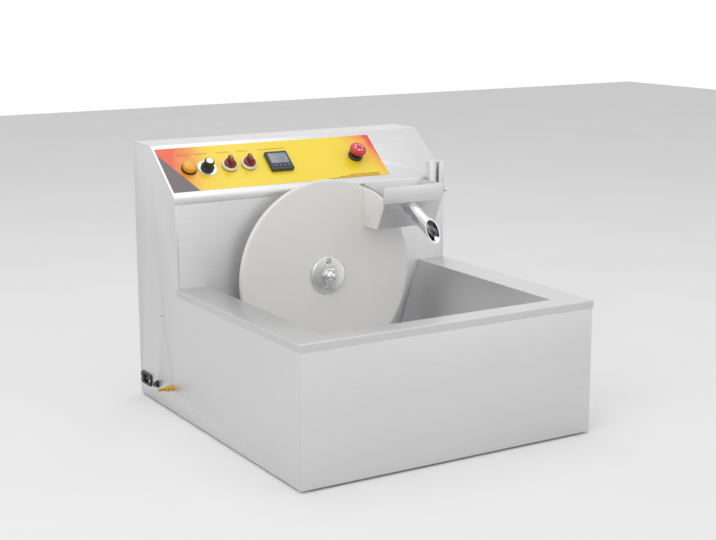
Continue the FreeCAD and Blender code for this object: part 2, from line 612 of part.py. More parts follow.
def enclosure():
    """Sheets of the body, with feet and screws."""
    left = side_panel("left_side_panel", -1, [
        ("fuse_place", "fuse_height", "fuse_barrel + 0.3"),
        ("stud_place", "stud_height", "stud_diameter + 0.3"),
    ])
    inlet_cut_out(left)
    side_panel("right_side_panel", 1)

    front = Piece("tub_front_panel")
    front.pad("XZ", f"{FRONT} - panel", FRONT, rectangle(f"-{SIDE}", "foot_lift", SIDE, "tub_height - panel"))
    inner = f"({SIDE} - flange - 1)"
    front.pad("XY", "foot_lift", "foot_lift + panel", rectangle(f"-{inner}", FRONT, inner, f"{FRONT} + flange"))
    front.pad("XY", "tub_height - 2*panel", "tub_height - panel",
              rectangle(f"-{inner}", FRONT, inner, f"{FRONT} + flange"))

    base = Piece("base_plate")
    base_side = f"({SIDE} - panel - 0.5)"
    base.pad("XY", "foot_lift + panel", "foot_lift + 2*panel",
             rectangle(f"-{base_side}", f"{FRONT} + panel + 0.5", base_side, f"{REAR} - panel - 0.5"))
    slot = base.cut("XY", "foot_lift", "foot_lift + 3*panel", rectangle("-120", "190", "-60", "194"))
    base.repeat(slot, "Y", "12", "8")

    splash = Piece("splash_panel")
    splash_side = f"({SIDE} - tower_flange)"
    splash.pad("XZ", SPLASH, f"{SPLASH} + panel",
               rectangle(f"-{splash_side}", f"{FLOOR_TOP} - panel", splash_side, LIP_END))
    splash.cut("XZ", f"{SPLASH} - panel", f"{SPLASH} + 2*panel",
               circles=[("0", "wheel_height", "shaft_diameter + 6")])
    splash.cut("XZ", f"{SPLASH} - panel", f"{SPLASH} + 2*panel",
               circles=[(x, f"wheel_height + {up}", "screw_hole") for x, up in BEARING_SCREWS])
    splash.cut("XZ", f"{SPLASH} - panel", f"{SPLASH} + 2*panel",
               circles=[(*place, "screw_hole") for place in CHANNEL_SCREWS])

    console = Piece("console_panel")
    inner_low = f"console_edge - panel*{LOW_MITRE}"
    console.pad("YZ", f"-{SIDE}", SIDE, [
        (SPLASH, LIP_END),
        (SPLASH, "console_edge"),
        (TOP_EDGE, "body_height"),
        (REAR, "body_height"),
        (REAR, "body_height - panel"),
        (f"{TOP_EDGE} + panel*{TOP_MITRE}", "body_height - panel"),
        (f"{SPLASH} + panel", inner_low),
        (f"{SPLASH} + panel", LIP_END),
    ])
    for outside, radius in ((True, "console_bend + panel"), (False, "console_bend")):
        shift = "0" if outside else "panel"
        bends = [
            (number_of(f"{SPLASH} + {shift}"), number_of("console_edge" if outside else inner_low)),
            (number_of(f"{TOP_EDGE} + {shift}*{TOP_MITRE}"), number_of(f"body_height - {shift}")),
        ]
        console.dress("Fillet", radius, lambda edge: runs_along(edge, Vector(1, 0, 0)) and any(
            abs(edge.CenterOfMass.y - y) < 0.01 and abs(edge.CenterOfMass.z - z) < 0.01 for y, z in bends))
    console.pierce(console_frame(), "8*panel", circles=ROUND_HOLES)
    console.pierce(console_frame(), "8*panel",
                   box_outline("controller_hole", "controller_hole", "controller_place", "control_row"))

    rear = Piece("rear_cover")
    rear.pad("XZ", REAR, f"{REAR} + panel",
             rectangle(f"-{SIDE}", "foot_lift", SIDE, "body_height"),
             circles=[(x, z, "screw_hole") for x, z in COVER_SCREWS])
    for side in (-1, 1):
        vent = rear.cut("XZ", f"{REAR} - panel", f"{REAR} + 2*panel",
                        box_outline("vent_length", "vent_width", f"{side}*vent_offset", "vent_low"))
        rear.repeat(vent, "Z", "vent_pitch", "vent_count")

    feet = Piece("feet")
    feet.pad("XY", "0", "foot_lift + panel", circles=[
        (f"{side}*({SIDE} - foot_inset)", f"{end}*(body_depth/2 - foot_inset)", "foot_width")
        for side in (-1, 1) for end in (-1, 1)])
    feet.dress("Chamfer", "1", lambda edge: edge.CenterOfMass.z < 0.01)

    places = [((x, f"{REAR} + panel", z), (0, 1, 0)) for x, z in COVER_SCREWS]
    places += [((f"{side}*{SIDE}", *SIDE_SCREW), (side, 0, 0)) for side in (-1, 1)]
    places += [((x, f"{SPLASH} + screw_length", f"wheel_height + {up}"), (0, 1, 0)) for x, up in BEARING_SCREWS]
    fasteners("panel_screws", places, "screw_shank", "screw_length", "screw_head", "screw_rise")


# ---------------------------------------------------------------- basin

def basin():
    """Welded tank: rim with its skirt, sloped walls and floor; its open back meets the splash panel."""
    piece = Piece("basin")
    outer = f"({SIDE} + panel)"
    front = "(-body_depth/2)"
    inset = f"((tub_height - {FLOOR_TOP})*tan(basin_slope))"
    front_inset = f"((tub_height - {FLOOR_TOP})*tan(front_slope))"
    floor_side = f"({INNER_RIM} - {inset})"
    floor_front = f"({INNER_FRONT} + {front_inset})"
    piece.pad("XY", "tub_height - panel", "tub_height", rectangle(f"-{outer}", front, outer, SPLASH))
    piece.pad("XY", "tub_height - rim_skirt", "tub_height - panel", [
        (f"-{outer}", SPLASH), (f"-{outer}", front), (outer, front), (outer, SPLASH),
        (SIDE, SPLASH), (SIDE, f"{front} + panel"), (f"-{SIDE}", f"{front} + panel"), (f"-{SIDE}", SPLASH),
    ])
    low = f"{FLOOR_TOP} - panel"

    def ring(side, near):
        """Level outline of the tank, open towards the splash panel."""
        return rectangle(f"-({side})", near, side, SPLASH)

    wall, front_wall = "panel/cos(basin_slope)", "panel/cos(front_slope)"
    piece.loft(low, ring(f"{floor_side} + {wall} - panel*tan(basin_slope)",
                         f"{floor_front} - {front_wall} + panel*tan(front_slope)"),
               "tub_height - panel", ring(f"{INNER_RIM} + {wall} - panel*tan(basin_slope)",
                                          f"{INNER_FRONT} - {front_wall} + panel*tan(front_slope)"))
    piece.loft(FLOOR_TOP, ring(floor_side, floor_front), "tub_height", ring(INNER_RIM, INNER_FRONT), remove=True)
    top = number_of("tub_height")
    border = number_of(outer)

    def outer_edge(edge):
        """Whether an edge lies on the outer border of the rim's top."""
        middle = edge.CenterOfMass
        return abs(middle.z - top) < 0.01 and (
            abs(abs(middle.x) - border) < 0.01 or abs(middle.y - number_of(front)) < 0.01)

    piece.dress("Fillet", "rim_bend", outer_edge)

    heater = Piece("basin_heater", frame(z=f"{FLOOR_TOP} - panel - heater_thick"))
    heater.pad("XY", "0", "heater_thick", rectangle(
        "-heater_width/2", f"{SPLASH} - 60 - heater_length", "heater_width/2", f"{SPLASH} - 60"))


# ---------------------------------------------------------------- wheel and drive

def hub_screw_circles(diameter):
    """The two hub screws, above and below the shaft, as circles of one diameter."""
    return [("0", f"{side}*hub_screw_circle/2", diameter) for side in (-1, 1)]


def wheel():
    """Disc, hub and shaft, which turn as one."""
    disc = Piece("wheel_disc", wheel_frame())
    disc.revolve([
        ("shaft_diameter/2", "-wheel_thick"), ("wheel_diameter/2", "-wheel_thick"),
        ("wheel_diameter/2", "0"), ("shaft_diameter/2", "0"),
    ])
    edge_radius = number_of("wheel_diameter/2")
    disc.dress("Fillet", "wheel_edge", lambda edge: edge.Closed and abs(edge.Curve.Radius - edge_radius) < 0.01)
    disc.cut("XY", "-wheel_thick", "0", circles=hub_screw_circles("hub_screw_shank"))

    hub = Piece("hub_flange", wheel_frame())
    hub.revolve([
        ("shaft_diameter/2", "0"), ("hub_diameter/2", "0"), ("hub_diameter/2", "hub_plate - 1.5"),
        ("hub_diameter/2 - 1.5", "hub_plate"), ("nut_flats*0.62", "hub_plate + hub_crown"),
        ("shaft_diameter/2", "hub_plate + hub_crown"),
    ])
    hub.cut("XY", "0", "hub_plate + hub_crown", circles=hub_screw_circles("hub_screw_shank"))
    hub.cut("XY", "hub_plate - 0.5", "hub_plate + hub_crown + 1", circles=hub_screw_circles("hub_screw_head + 1"))

    back = Piece("back_flange", wheel_frame())
    back.revolve([
        ("shaft_diameter/2", "-wheel_thick"), ("hub_diameter/2", "-wheel_thick"),
        ("hub_diameter/2", "-wheel_thick - back_plate + 1"), ("hub_diameter/2 - 1", "-wheel_thick - back_plate"),
        ("collar_diameter/2", "-wheel_thick - back_plate"),
        ("collar_diameter/2", "-wheel_thick - back_plate - collar_length"),
        ("shaft_diameter/2", "-wheel_thick - back_plate - collar_length"),
    ])
    back.cut("XY", "-wheel_thick - back_plate", "-wheel_thick", circles=hub_screw_circles("hub_screw_shank"))

    seats = [("0", f"{WHEEL_FACE} - hub_plate + 0.5", f"wheel_height + {side}*hub_screw_circle/2") for side in (-1, 1)]
    fasteners("hub_screws", [(place, (0, -1, 0)) for place in seats], "hub_screw_shank",
              "hub_plate - 0.5 + wheel_thick + back_plate", "hub_screw_head", "3.4")

    seat = "(hub_plate + hub_crown)"
    nut = Piece("shaft_nut", wheel_frame())
    nut.pad("XY", seat, f"{seat} + nut_height", hexagon("nut_flats"), circles=[("0", "0", "nut_thread")])
    nut.revolve([
        ("nut_thread/2", f"{seat} + nut_height"), ("nut_dome/2", f"{seat} + nut_height"),
        ("0", f"{seat} + nut_height + nut_dome/2"), ("0", f"{seat} + nut_height + nut_dome/4"),
        ("nut_thread/2", f"{seat} + nut_height + nut_dome/4"),
    ], arcs={1: ("nut_dome/2", 1)})

    shaft = Piece("wheel_shaft", wheel_frame())
    shaft.revolve([
        ("0", f"-({COUPLING}) - coupling_length/2 + 0.5"),
        ("shaft_diameter/2 - 1", f"-({COUPLING}) - coupling_length/2 + 0.5"),
        ("shaft_diameter/2", f"-({COUPLING}) - coupling_length/2 + 1.5"),
        ("shaft_diameter/2", seat), ("nut_thread/2", seat),
        ("nut_thread/2", f"{seat} + nut_height + 1"), ("0", f"{seat} + nut_height + 1"),
    ])

    coupling = Piece("shaft_coupling", wheel_frame())
    coupling.revolve([
        ("shaft_diameter/2", f"-({COUPLING})"), ("coupling_diameter/2 - 1", f"-({COUPLING})"),
        ("coupling_diameter/2", f"-({COUPLING}) - 1"),
        ("coupling_diameter/2", f"-({COUPLING}) - coupling_length + 1"),
        ("coupling_diameter/2 - 1", f"-({COUPLING}) - coupling_length"),
        ("output_diameter/2", f"-({COUPLING}) - coupling_length"),
        ("output_diameter/2", f"-({COUPLING}) - coupling_length/2"),
        ("shaft_diameter/2", f"-({COUPLING}) - coupling_length/2"),
    ])

    output = Piece("gearbox_output_shaft", wheel_frame())
    output.revolve([
        ("0", f"-({GEARBOX}) - output_root"), ("output_diameter/2", f"-({GEARBOX}) - output_root"),
        ("output_diameter/2", f"-({COUPLING}) - coupling_length + output_reach"),
        ("0", f"-({COUPLING}) - coupling_length + output_reach"),
    ])


def drive():
    """Bearing, gearmotor and what carries them inside the tower."""
    bearing = Piece("shaft_bearing", wheel_frame())
    plate_back = f"-({INSIDE}) - screw_length + panel"
    bearing.pad("XY", plate_back, f"-({INSIDE})", box_outline("bearing_flange", "bearing_flange"),
                circles=[(x, up, "screw_hole") for x, up in BEARING_SCREWS])
    bearing.dress("Fillet", "8", lambda edge: runs_along(edge, Vector(0, 0, 1)))
    bearing.pad("XY", f"-({INSIDE}) - bearing_length", f"{plate_back} + 1",
                circles=[("0", "0", "bearing_boss")])
    bearing.cut("XY", f"-({INSIDE}) - bearing_length", f"-({INSIDE})",
                circles=[("0", "0", "shaft_diameter + 2*running_gap")])

    gearbox = Piece("gearbox", wheel_frame())
    gearbox.pad("XY", f"-({GEARBOX}) - gearbox_length", f"-({GEARBOX})", box_outline("gearbox_size", "gearbox_size"))
    gearbox.dress("Fillet", "6", lambda edge: runs_along(edge, Vector(0, 0, 1)))
    gearbox.cut("XY", f"-({GEARBOX}) - output_root - 1", f"-({GEARBOX})",
                circles=[("0", "0", "output_diameter + 2*running_gap")])

    motor = Piece("gearmotor", wheel_frame())
    motor_back = f"-({GEARBOX}) - gearbox_length - motor_length"
    motor.revolve([
        ("0", motor_back), ("motor_diameter/2 - 5", motor_back), ("motor_diameter/2", f"{motor_back} + 5"),
        ("motor_diameter/2", f"-({GEARBOX}) - gearbox_length"), ("0", f"-({GEARBOX}) - gearbox_length"),
    ])
    rib = motor.cut("XY", f"{motor_back} + 10", f"-({GEARBOX}) - gearbox_length - 8",
                    box_outline("4", "3", "0", "motor_diameter/2 - 0.8"))
    motor.ring_of(rib, 18)

    rail = Piece("motor_rail")
    rail_end = f"({SIDE} - panel)"
    half = "rail_depth/2"
    rail.pad("YZ", f"-{rail_end}", rail_end, [
        (f"{RAIL_MIDDLE} - {half}", f"{RAIL_TOP} - rail_height"), (f"{RAIL_MIDDLE} - {half}", RAIL_TOP),
        (f"{RAIL_MIDDLE} + {half}", RAIL_TOP), (f"{RAIL_MIDDLE} + {half}", f"{RAIL_TOP} - rail_height"),
        (f"{RAIL_MIDDLE} + {half} - rail_sheet", f"{RAIL_TOP} - rail_height"),
        (f"{RAIL_MIDDLE} + {half} - rail_sheet", f"{RAIL_TOP} - rail_sheet"),
        (f"{RAIL_MIDDLE} - {half} + rail_sheet", f"{RAIL_TOP} - rail_sheet"),
        (f"{RAIL_MIDDLE} - {half} + rail_sheet", f"{RAIL_TOP} - rail_height"),
    ])
    for low, high in ((f"-{rail_end}", f"-{rail_end} + rail_sheet"), (f"{rail_end} - rail_sheet", rail_end)):
        rail.pad("YZ", low, high,
                 rectangle(f"{RAIL_MIDDLE} - {half}", f"{RAIL_TOP} - rail_height", f"{RAIL_MIDDLE} + {half}", RAIL_TOP),
                 circles=[(*SIDE_SCREW, "screw_hole")])


# ---------------------------------------------------------------- scraper unit

CHANNEL_MIDDLE = "(channel_left + channel_width/2)"
CHANNEL_SCREWS = [(CHANNEL_MIDDLE, f"channel_bottom + {height}") for height in (10, 26)]


def spout_frame():
    """Frame on the trough's front wall: z out along the spout, y up the wall."""
    return frame(
        "scraper_left + trough_width/2",
        f"{TROUGH_FRONT} + spout_drop*sin({WALL_ANGLE})",
        f"{BAND_LOW} - spout_drop*cos({WALL_ANGLE})",
        (1, 0, 0),
        f"90 deg + {WALL_ANGLE}",
    )


def trough():
    """Sheet trough with its front plate, and the spout that drains it."""
    piece = Piece("trough")
    profile = [
        (TROUGH_FRONT, "trough_top"), (TROUGH_FRONT, BAND_LOW), (f"{TROUGH_FRONT} + wall_run", TROUGH_LOW),
        (TROUGH_BACK, TROUGH_LOW), (TROUGH_BACK, "trough_top"),
    ]
    piece.pad("YZ", STEEL_LEFT, TROUGH_RIGHT, profile)
    piece.cut("YZ", f"{STEEL_LEFT} + trough_sheet", f"{TROUGH_RIGHT} - trough_sheet", [
        (f"{TROUGH_FRONT} + trough_sheet", "trough_top + 1"),
        (f"{TROUGH_FRONT} + trough_sheet", f"{BAND_LOW} + trough_sheet*tan({WALL_ANGLE}/2)"),
        (f"{TROUGH_FRONT} + wall_run + trough_sheet*(1/cos({WALL_ANGLE}) - tan({WALL_ANGLE}))",
         f"{TROUGH_LOW} + trough_sheet"),
        (f"{TROUGH_BACK} - trough_sheet", f"{TROUGH_LOW} + trough_sheet"),
        (f"{TROUGH_BACK} - trough_sheet", "trough_top + 1"),
    ])
    inner_left, floor = f"({STEEL_LEFT} + trough_sheet)", f"({TROUGH_LOW} + trough_sheet)"
    reach = "(wheel_diameter/2 + arc_gap)"
    piece.cut("XZ", f"{TROUGH_BACK} - trough_sheet", TROUGH_BACK, [
        (inner_left, floor), (f"sqrt({reach}^2 - ({floor} - wheel_height)^2)", floor),
        (inner_left, f"wheel_height + sqrt({reach}^2 - {inner_left}^2)"),
    ], arcs={1: (reach, 1)})
    blade_back = f"trough_top - blade_drop - 3"
    piece.cut("YZ", STEEL_LEFT, inner_left, [
        (f"{TROUGH_FRONT} + trough_sheet", f"{blade_back} - blade_fall"),
        (f"{TROUGH_BACK} - trough_sheet", blade_back),
        (f"{TROUGH_BACK} - trough_sheet", "trough_top"), (f"{TROUGH_FRONT} + trough_sheet", "trough_top"),
    ])
    piece.pad("XZ", f"{TROUGH_FRONT} - trough_sheet", TROUGH_FRONT,
              rectangle("scraper_left", BAND_LOW, TROUGH_RIGHT, "trough_top"))
    piece.pierce(spout_frame(), "6*trough_sheet", circles=[("0", "0", "pipe_outside - 2*pipe_wall")])
    piece.cut("YZ", f"{TROUGH_RIGHT} - 2*trough_sheet", f"{TROUGH_RIGHT} + trough_sheet",
              circles=[(y, z, "rivet_shank") for y, z in HANGER_RIVETS])
    piece.cut("YZ", f"{STEEL_LEFT} - trough_sheet", f"{STEEL_LEFT} + 2*trough_sheet",
              circles=[(y, z, "rivet_shank") for y, z in BLADE_RIVETS])

    blade = Piece("scraper_blade")
    blade.pad("YZ", "scraper_left", STEEL_LEFT, [
        (f"{WHEEL_FACE} - 0.35", TROUGH_LOW), (f"{WHEEL_FACE} - 0.35", "trough_top - blade_drop"),
        (TROUGH_FRONT, "trough_top - blade_drop - blade_fall"), (TROUGH_FRONT, BAND_LOW),
        (f"{TROUGH_FRONT} + wall_run", TROUGH_LOW),
    ], arcs={1: ("blade_crown", 1)})
    blade.cut("YZ", f"{STEEL_LEFT} + trough_sheet - rivet_length", STEEL_LEFT,
              circles=[(y, z, "rivet_shank") for y, z in BLADE_RIVETS])

    pipe = Piece("spout_pipe", spout_frame())
    pipe.revolve([
        ("pipe_outside/2 - pipe_wall", "0"), ("pipe_outside/2", "0"), ("pipe_outside/2", "pipe_length"),
        ("pipe_outside/2 - pipe_wall", "pipe_length"),
    ])
    sleeve = Piece("spout_sleeve", spout_frame())
    lip = "(spout_length + sleeve_outside/2/tan(mouth_angle))"
    sleeve.revolve([
        ("pipe_outside/2", "sleeve_start"), ("sleeve_outside/2 - 0.8", "sleeve_start"),
        ("sleeve_outside/2", "sleeve_start + 0.8"), ("sleeve_outside/2", lip), ("pipe_outside/2", lip),
    ])
    reach = "(sleeve_outside/2 + 4)"
    sleeve.cut("YZ", f"-{reach}", reach, [
        (f"-{reach}", f"spout_length + {reach}/tan(mouth_angle)"),
        (reach, f"spout_length - {reach}/tan(mouth_angle)"),
        (reach, f"spout_length + {reach}/tan(mouth_angle)"),
    ])


HANGER_RIVETS = [
    (f"{TROUGH_BACK} - foot_overlap/2 + {side}*rivet_pitch/2", f"{ARM_LOW} + arm_height/2") for side in (-1, 1)
]
BLADE_RIVETS = [
    (f"{TROUGH_BACK} - {back}", f"{TROUGH_LOW} + {up}") for back, up in ((12, 14), (12, 56), (38, 14))
]


def hanger():
    """What carries the trough: channel on the splash panel, hanger in it and the clamp screw."""
    channel = Piece("bracket_channel")
    left, right = "channel_left", "(channel_left + channel_width)"
    channel.pad("XY", "channel_bottom", "channel_bottom + channel_height", [
        (left, SPLASH), (right, SPLASH), (right, CHANNEL_FRONT), (f"{right} - channel_lip", CHANNEL_FRONT),
        (f"{right} - channel_lip", f"{CHANNEL_FRONT} + channel_sheet"),
        (f"{right} - channel_sheet", f"{CHANNEL_FRONT} + channel_sheet"),
        (f"{right} - channel_sheet", f"{SPLASH} - channel_sheet"),
        (f"{left} + channel_sheet", f"{SPLASH} - channel_sheet"),
        (f"{left} + channel_sheet", f"{CHANNEL_FRONT} + channel_sheet"),
        (f"{left} + channel_lip", f"{CHANNEL_FRONT} + channel_sheet"),
        (f"{left} + channel_lip", CHANNEL_FRONT), (left, CHANNEL_FRONT),
    ])
    channel.pad("XY", "channel_bottom", "channel_bottom + channel_sheet",
                rectangle(left, CHANNEL_FRONT, right, SPLASH))
    channel.cut("XZ", f"{SPLASH} - channel_sheet", SPLASH,
                circles=[(*place, "screw_hole") for place in CHANNEL_SCREWS])
    channel.cut("XZ", CHANNEL_FRONT, f"{CHANNEL_FRONT} + channel_sheet",
                circles=[(*place, "screw_head + 2") for place in CHANNEL_SCREWS])
    channel.pad("YZ", right, f"{right} + clamp_nut", hexagon("8", CLAMP_MIDDLE, "clamp_height"))
    channel.cut("YZ", f"{right} - channel_sheet", f"{right} + clamp_nut",
                circles=[(CLAMP_MIDDLE, "clamp_height", "clamp_shank + 2*running_gap")])
    fasteners("channel_screws", [((x, f"{SPLASH} - channel_sheet", z), (0, -1, 0)) for x, z in CHANNEL_SCREWS],
              "screw_shank", "channel_sheet + panel + 4", "6", "0.7")

    arm = Piece("trough_hanger")
    tab_front = f"{TAB_BACK} - tab_thick"
    arm_back = f"{CHANNEL_FRONT} - arm_gap"
    arm_front = f"{arm_back} - arm_thick"
    arm_high = f"{ARM_LOW} + arm_height"
    arm.pad("XZ", tab_front, TAB_BACK, rectangle(TAB_LEFT, TAB_LOW, TAB_RIGHT, f"{TAB_LOW} + tab_height"))
    arm.pad("XZ", arm_back, tab_front, rectangle(
        f"{CHANNEL_MIDDLE} - stem_width/2", ARM_LOW, f"{CHANNEL_MIDDLE} + stem_width/2", arm_high))
    arm.pad("XZ", arm_front, arm_back, rectangle(
        TROUGH_RIGHT, ARM_LOW, f"{CHANNEL_MIDDLE} + stem_width/2", arm_high))
    arm.pad("YZ", TROUGH_RIGHT, f"{TROUGH_RIGHT} + arm_thick", rectangle(
        f"{TROUGH_BACK} - foot_overlap", ARM_LOW, arm_back, arm_high),
        circles=[(y, z, "rivet_shank") for y, z in HANGER_RIVETS])
    rivets = [(f"{TROUGH_RIGHT} + arm_thick", *place) for place in HANGER_RIVETS]
    rivets += [(f"{STEEL_LEFT} + trough_sheet", *place) for place in BLADE_RIVETS]
    fasteners("trough_rivets", [(place, (1, 0, 0)) for place in rivets], "rivet_shank", "rivet_length",
              "rivet_head", "1.6")

    nut_face = f"({right} + clamp_nut)"
    screw = Piece("clamp_screw", frame(nut_face, CLAMP_MIDDLE, "clamp_height", (0, 1, 0), "90"))
    tip = f"(-clamp_nut - channel_sheet - tab_gap + 0.4)"
    screw.revolve([
        ("0", tip), ("clamp_shank/2 - 1", tip), ("clamp_shank/2", f"{tip} + 1"), ("clamp_shank/2", "1.5"),
        ("clamp_head/2 - 0.8", "1.5"), ("clamp_head/2", "2.3"), ("clamp_head/2", "clamp_head_length + 0.7"),
        ("clamp_head/2 - 0.8", "clamp_head_length + 1.5"), ("0", "clamp_head_length + 1.5"),
    ])


CLAMP_MIDDLE = f"({TAB_BACK} - tab_thick/2)"


# ---------------------------------------------------------------- console

ROUND_HOLES = [
    ("lamp_place", "control_row", "barrel_hole"),
    ("dial_place", "control_row", "pot_bush + 0.3"),
    ("selector_first", "control_row", "barrel_hole"),
    ("selector_second", "control_row", "barrel_hole"),
    ("stop_place", "control_row", "barrel_hole"),
]


def control_film():
    """Printed film over the left part of the slope, with the same cut-outs."""
    film = Piece("control_film", console_frame())
    film.pad("XY", "0", "film_thick", rectangle("film_left", "film_low", "film_right", "film_high"),
             circles=ROUND_HOLES)
    film.cut("XY", "0", "film_thick",
             box_outline("controller_hole", "controller_hole", "controller_place", "control_row"))


def panel_barrel(name, place, bezel, height, bore):
    """Panel device: gasket and bezel on the film, threaded barrel and contact block behind the console."""
    piece = Piece(name, console_frame(place, "control_row"))
    top = f"(film_thick + gasket_height + {height})"
    piece.revolve([
        (f"({bore})/2", "-barrel_length + 12"), ("barrel_diameter/2", "-barrel_length + 12"),
        ("barrel_diameter/2", "film_thick"), (f"{bezel}/2 - 0.6", "film_thick"),
        (f"{bezel}/2 - 0.6", "film_thick + gasket_height"), (f"{bezel}/2", "film_thick + gasket_height"),
        (f"{bezel}/2", f"{top} - 1"), (f"{bezel}/2 - 1", top), (f"({bore})/2", top),
    ])
    piece.pad("XY", "-barrel_length - 14", "-barrel_length + 12", box_outline("28", "24"))
    return piece


def lamp():
    """Amber pilot lamp."""
    panel_barrel("pilot_lamp", "lamp_place", "bezel_diameter", "2", "12")
    lens = Piece("pilot_lens", console_frame("lamp_place", "control_row"))
    seat = "(film_thick + gasket_height + 2)"
    shoulder = "(lens_diameter/2 - lens_rounding)"
    lens.revolve([
        ("0", seat), ("lens_diameter/2", seat), ("lens_diameter/2", f"{seat} + lens_height - lens_crown - lens_rounding"),
        (shoulder, f"{seat} + lens_height - lens_crown"), ("0", f"{seat} + lens_height"),
    ], arcs={2: ("lens_rounding*1.2", 1), 3: (dome(shoulder, "lens_crown"), 1)})


def speed_dial():
    """Potentiometer with its dial plate and knob."""
    pot = Piece("potentiometer", console_frame("dial_place", "control_row"))
    top = "(film_thick + dial_thick)"
    pot.revolve([
        ("pot_shaft/2 + running_gap", "-pot_length - panel"), ("pot_body/2", "-pot_length - panel"),
        ("pot_body/2", "-panel"), ("pot_bush/2", "-panel"), ("pot_bush/2", top),
        ("pot_shaft/2 + running_gap", top),
    ])
    dial = Piece("dial_plate", console_frame("dial_place", "control_row"))
    dial.revolve([
        ("pot_bush/2", "film_thick"), ("dial_diameter/2", "film_thick"), ("dial_diameter/2", f"{top} - 0.4"),
        ("dial_diameter/2 - 0.4", top), ("pot_bush/2", top),
    ])
    foot = f"({top} + dial_clearance)"
    knob = Piece("speed_knob", console_frame("dial_place", "control_row"))
    knob.revolve([
        ("0", "-pot_length"), ("pot_shaft/2", "-pot_length"), ("pot_shaft/2", foot), ("knob_skirt/2", foot),
        ("knob_skirt/2", f"{foot} + 2"), ("knob_grip/2 + 1", f"{foot} + 5"),
        ("knob_grip/2", f"{foot} + knob_height"), ("0", f"{foot} + knob_height"),
    ])
    flute = knob.cut("XY", f"{foot} + 5", f"{foot} + knob_height", circles=[("knob_grip/2 + 0.9", "0", "2.2")])
    knob.ring_of(flute, 18)
    cap = Piece("knob_cap", console_frame("dial_place", "control_row"))
    cap_foot = f"{foot} + knob_height"
    cap.revolve([
        ("0", cap_foot), ("cap_diameter/2", cap_foot), ("cap_diameter/2", f"{cap_foot} + cap_height - 0.5"),
        ("cap_diameter/2 - 0.5", f"{cap_foot} + cap_height"), ("0", f"{cap_foot} + cap_height"),
    ])


def selector(number, place):
    """Selector switch: bezel with its barrel, and a knob with a raised grip."""
    bore = "spigot_diameter + 2*running_gap"
    panel_barrel(f"selector_{number}_body", place, "bezel_diameter", "bezel_height", bore)
    knob = Piece(f"selector_{number}_knob", console_frame(place, "control_row"))
    seat = "(film_thick + gasket_height + bezel_height + 0.4)"
    knob.revolve([
        ("0", f"{seat} - spigot_length"), ("spigot_diameter/2", f"{seat} - spigot_length"),
        ("spigot_diameter/2", seat), ("handle_diameter/2", seat),
        ("handle_diameter/2", f"{seat} + handle_disc - 1"), ("handle_diameter/2 - 1", f"{seat} + handle_disc"),
        ("0", f"{seat} + handle_disc"),
    ])
    grip = "(handle_diameter/2 - 0.6)"
    high = f"{seat} + handle_disc + handle_height"
    knob.pad("YZ", "-handle_width/2", "handle_width/2", [
        (f"-{grip}", f"{seat} + 1"), (grip, f"{seat} + 1"), (f"{grip} - 1.5", high), (f"-{grip} + 3", high),
    ])
    top = number_of(high)
    knob.dress("Fillet", "1.6", lambda edge: runs_along(edge, Vector(0, 1, 0)) and edge.CenterOfMass.z > top - 0.01)


def key_outline(index, gap="0"):
    """Outline of one controller key in the frame's plane, widened by a gap."""
    x = f"key_pitch*({index} - 2.5)"
    return box_outline(f"(key_width + 2*{gap})", f"(key_height + 2*{gap})", x, "key_row")


def controller():
    """Temperature controller: frame and case, window and four keys."""
    piece = Piece("controller_case", console_frame("controller_place", "control_row"))
    top = "(film_thick + controller_rise)"
    piece.pad("XY", "film_thick", top, box_outline("controller_size", "controller_size"))
    piece.dress("Fillet", "2.5", lambda edge: runs_along(edge, Vector(0, 0, 1)))
    upper = number_of(top)
    piece.dress("Chamfer", "1.2", lambda edge: edge.CenterOfMass.z > upper - 0.01)
    piece.pad("XY", "-controller_depth", "film_thick + 1", box_outline("controller_case", "controller_case"))
    piece.cut("XY", f"{top} - window_thick", top,
              box_outline("(window_width + 0.1)", "(window_height + 0.1)", "0", "window_lift"))
    for index in range(1, 5):
        piece.cut("XY", f"{top} - key_depth", top, key_outline(index, "key_gap"))
    window = Piece("controller_window", console_frame("controller_place", "control_row"))
    window.pad("XY", f"{top} - window_thick", f"{top} - 0.3",
               box_outline("window_width", "window_height", "0", "window_lift"))
    for index in range(1, 5):
        key = Piece(f"controller_key_{index}", console_frame("controller_place", "control_row"))
        key.pad("XY", f"{top} - key_depth + key_travel + 0.4", f"{top} + key_proud", key_outline(index))
        face = number_of(f"{top} + key_proud")
        key.dress("Fillet", "0.4", lambda edge: edge.CenterOfMass.z > face - 0.01)


def emergency_stop():
    """Mushroom push button that latches when pressed and is released by a twist of its head."""
    bore = "spigot_diameter + 2*running_gap"
    panel_barrel("stop_collar", "stop_place", "stop_collar", "stop_collar_height", bore)
    collar_top = "(film_thick + gasket_height + stop_collar_height)"
    seat = f"({collar_top} + stop_clearance + stop_travel)"
    stem = Piece("stop_stem", console_frame("stop_place", "control_row"))
    stem.revolve([
        ("0", "-barrel_length + 12 + stop_travel + 1"), ("spigot_diameter/2", "-barrel_length + 12 + stop_travel + 1"),
        ("spigot_diameter/2", f"{seat} - 0.3"), ("stop_neck/2", f"{seat} - 0.3"),
        ("stop_neck/2", f"{seat} + stop_grip"), ("0", f"{seat} + stop_grip"),
    ])
    head = Piece("stop_head", console_frame("stop_place", "control_row"))
    shoulder = "(stop_head/2 - stop_rounding)"
    head_top = f"({seat} + stop_head_height)"
    head.revolve([
        ("stop_neck/2 + running_gap", seat), ("stop_head/2 - stop_rounding", seat),
        ("stop_head/2", f"{head_top} - stop_crown - 2*stop_rounding"),
        ("stop_head/2", f"{head_top} - stop_crown - stop_rounding"), (shoulder, f"{head_top} - stop_crown"),
        ("0", head_top), ("0", f"{seat} + stop_grip + 0.3"), ("stop_neck/2 + running_gap", f"{seat} + stop_grip + 0.3"),
    ], arcs={3: ("stop_rounding*1.2", 1), 4: (dome(shoulder, "stop_crown"), 1)})


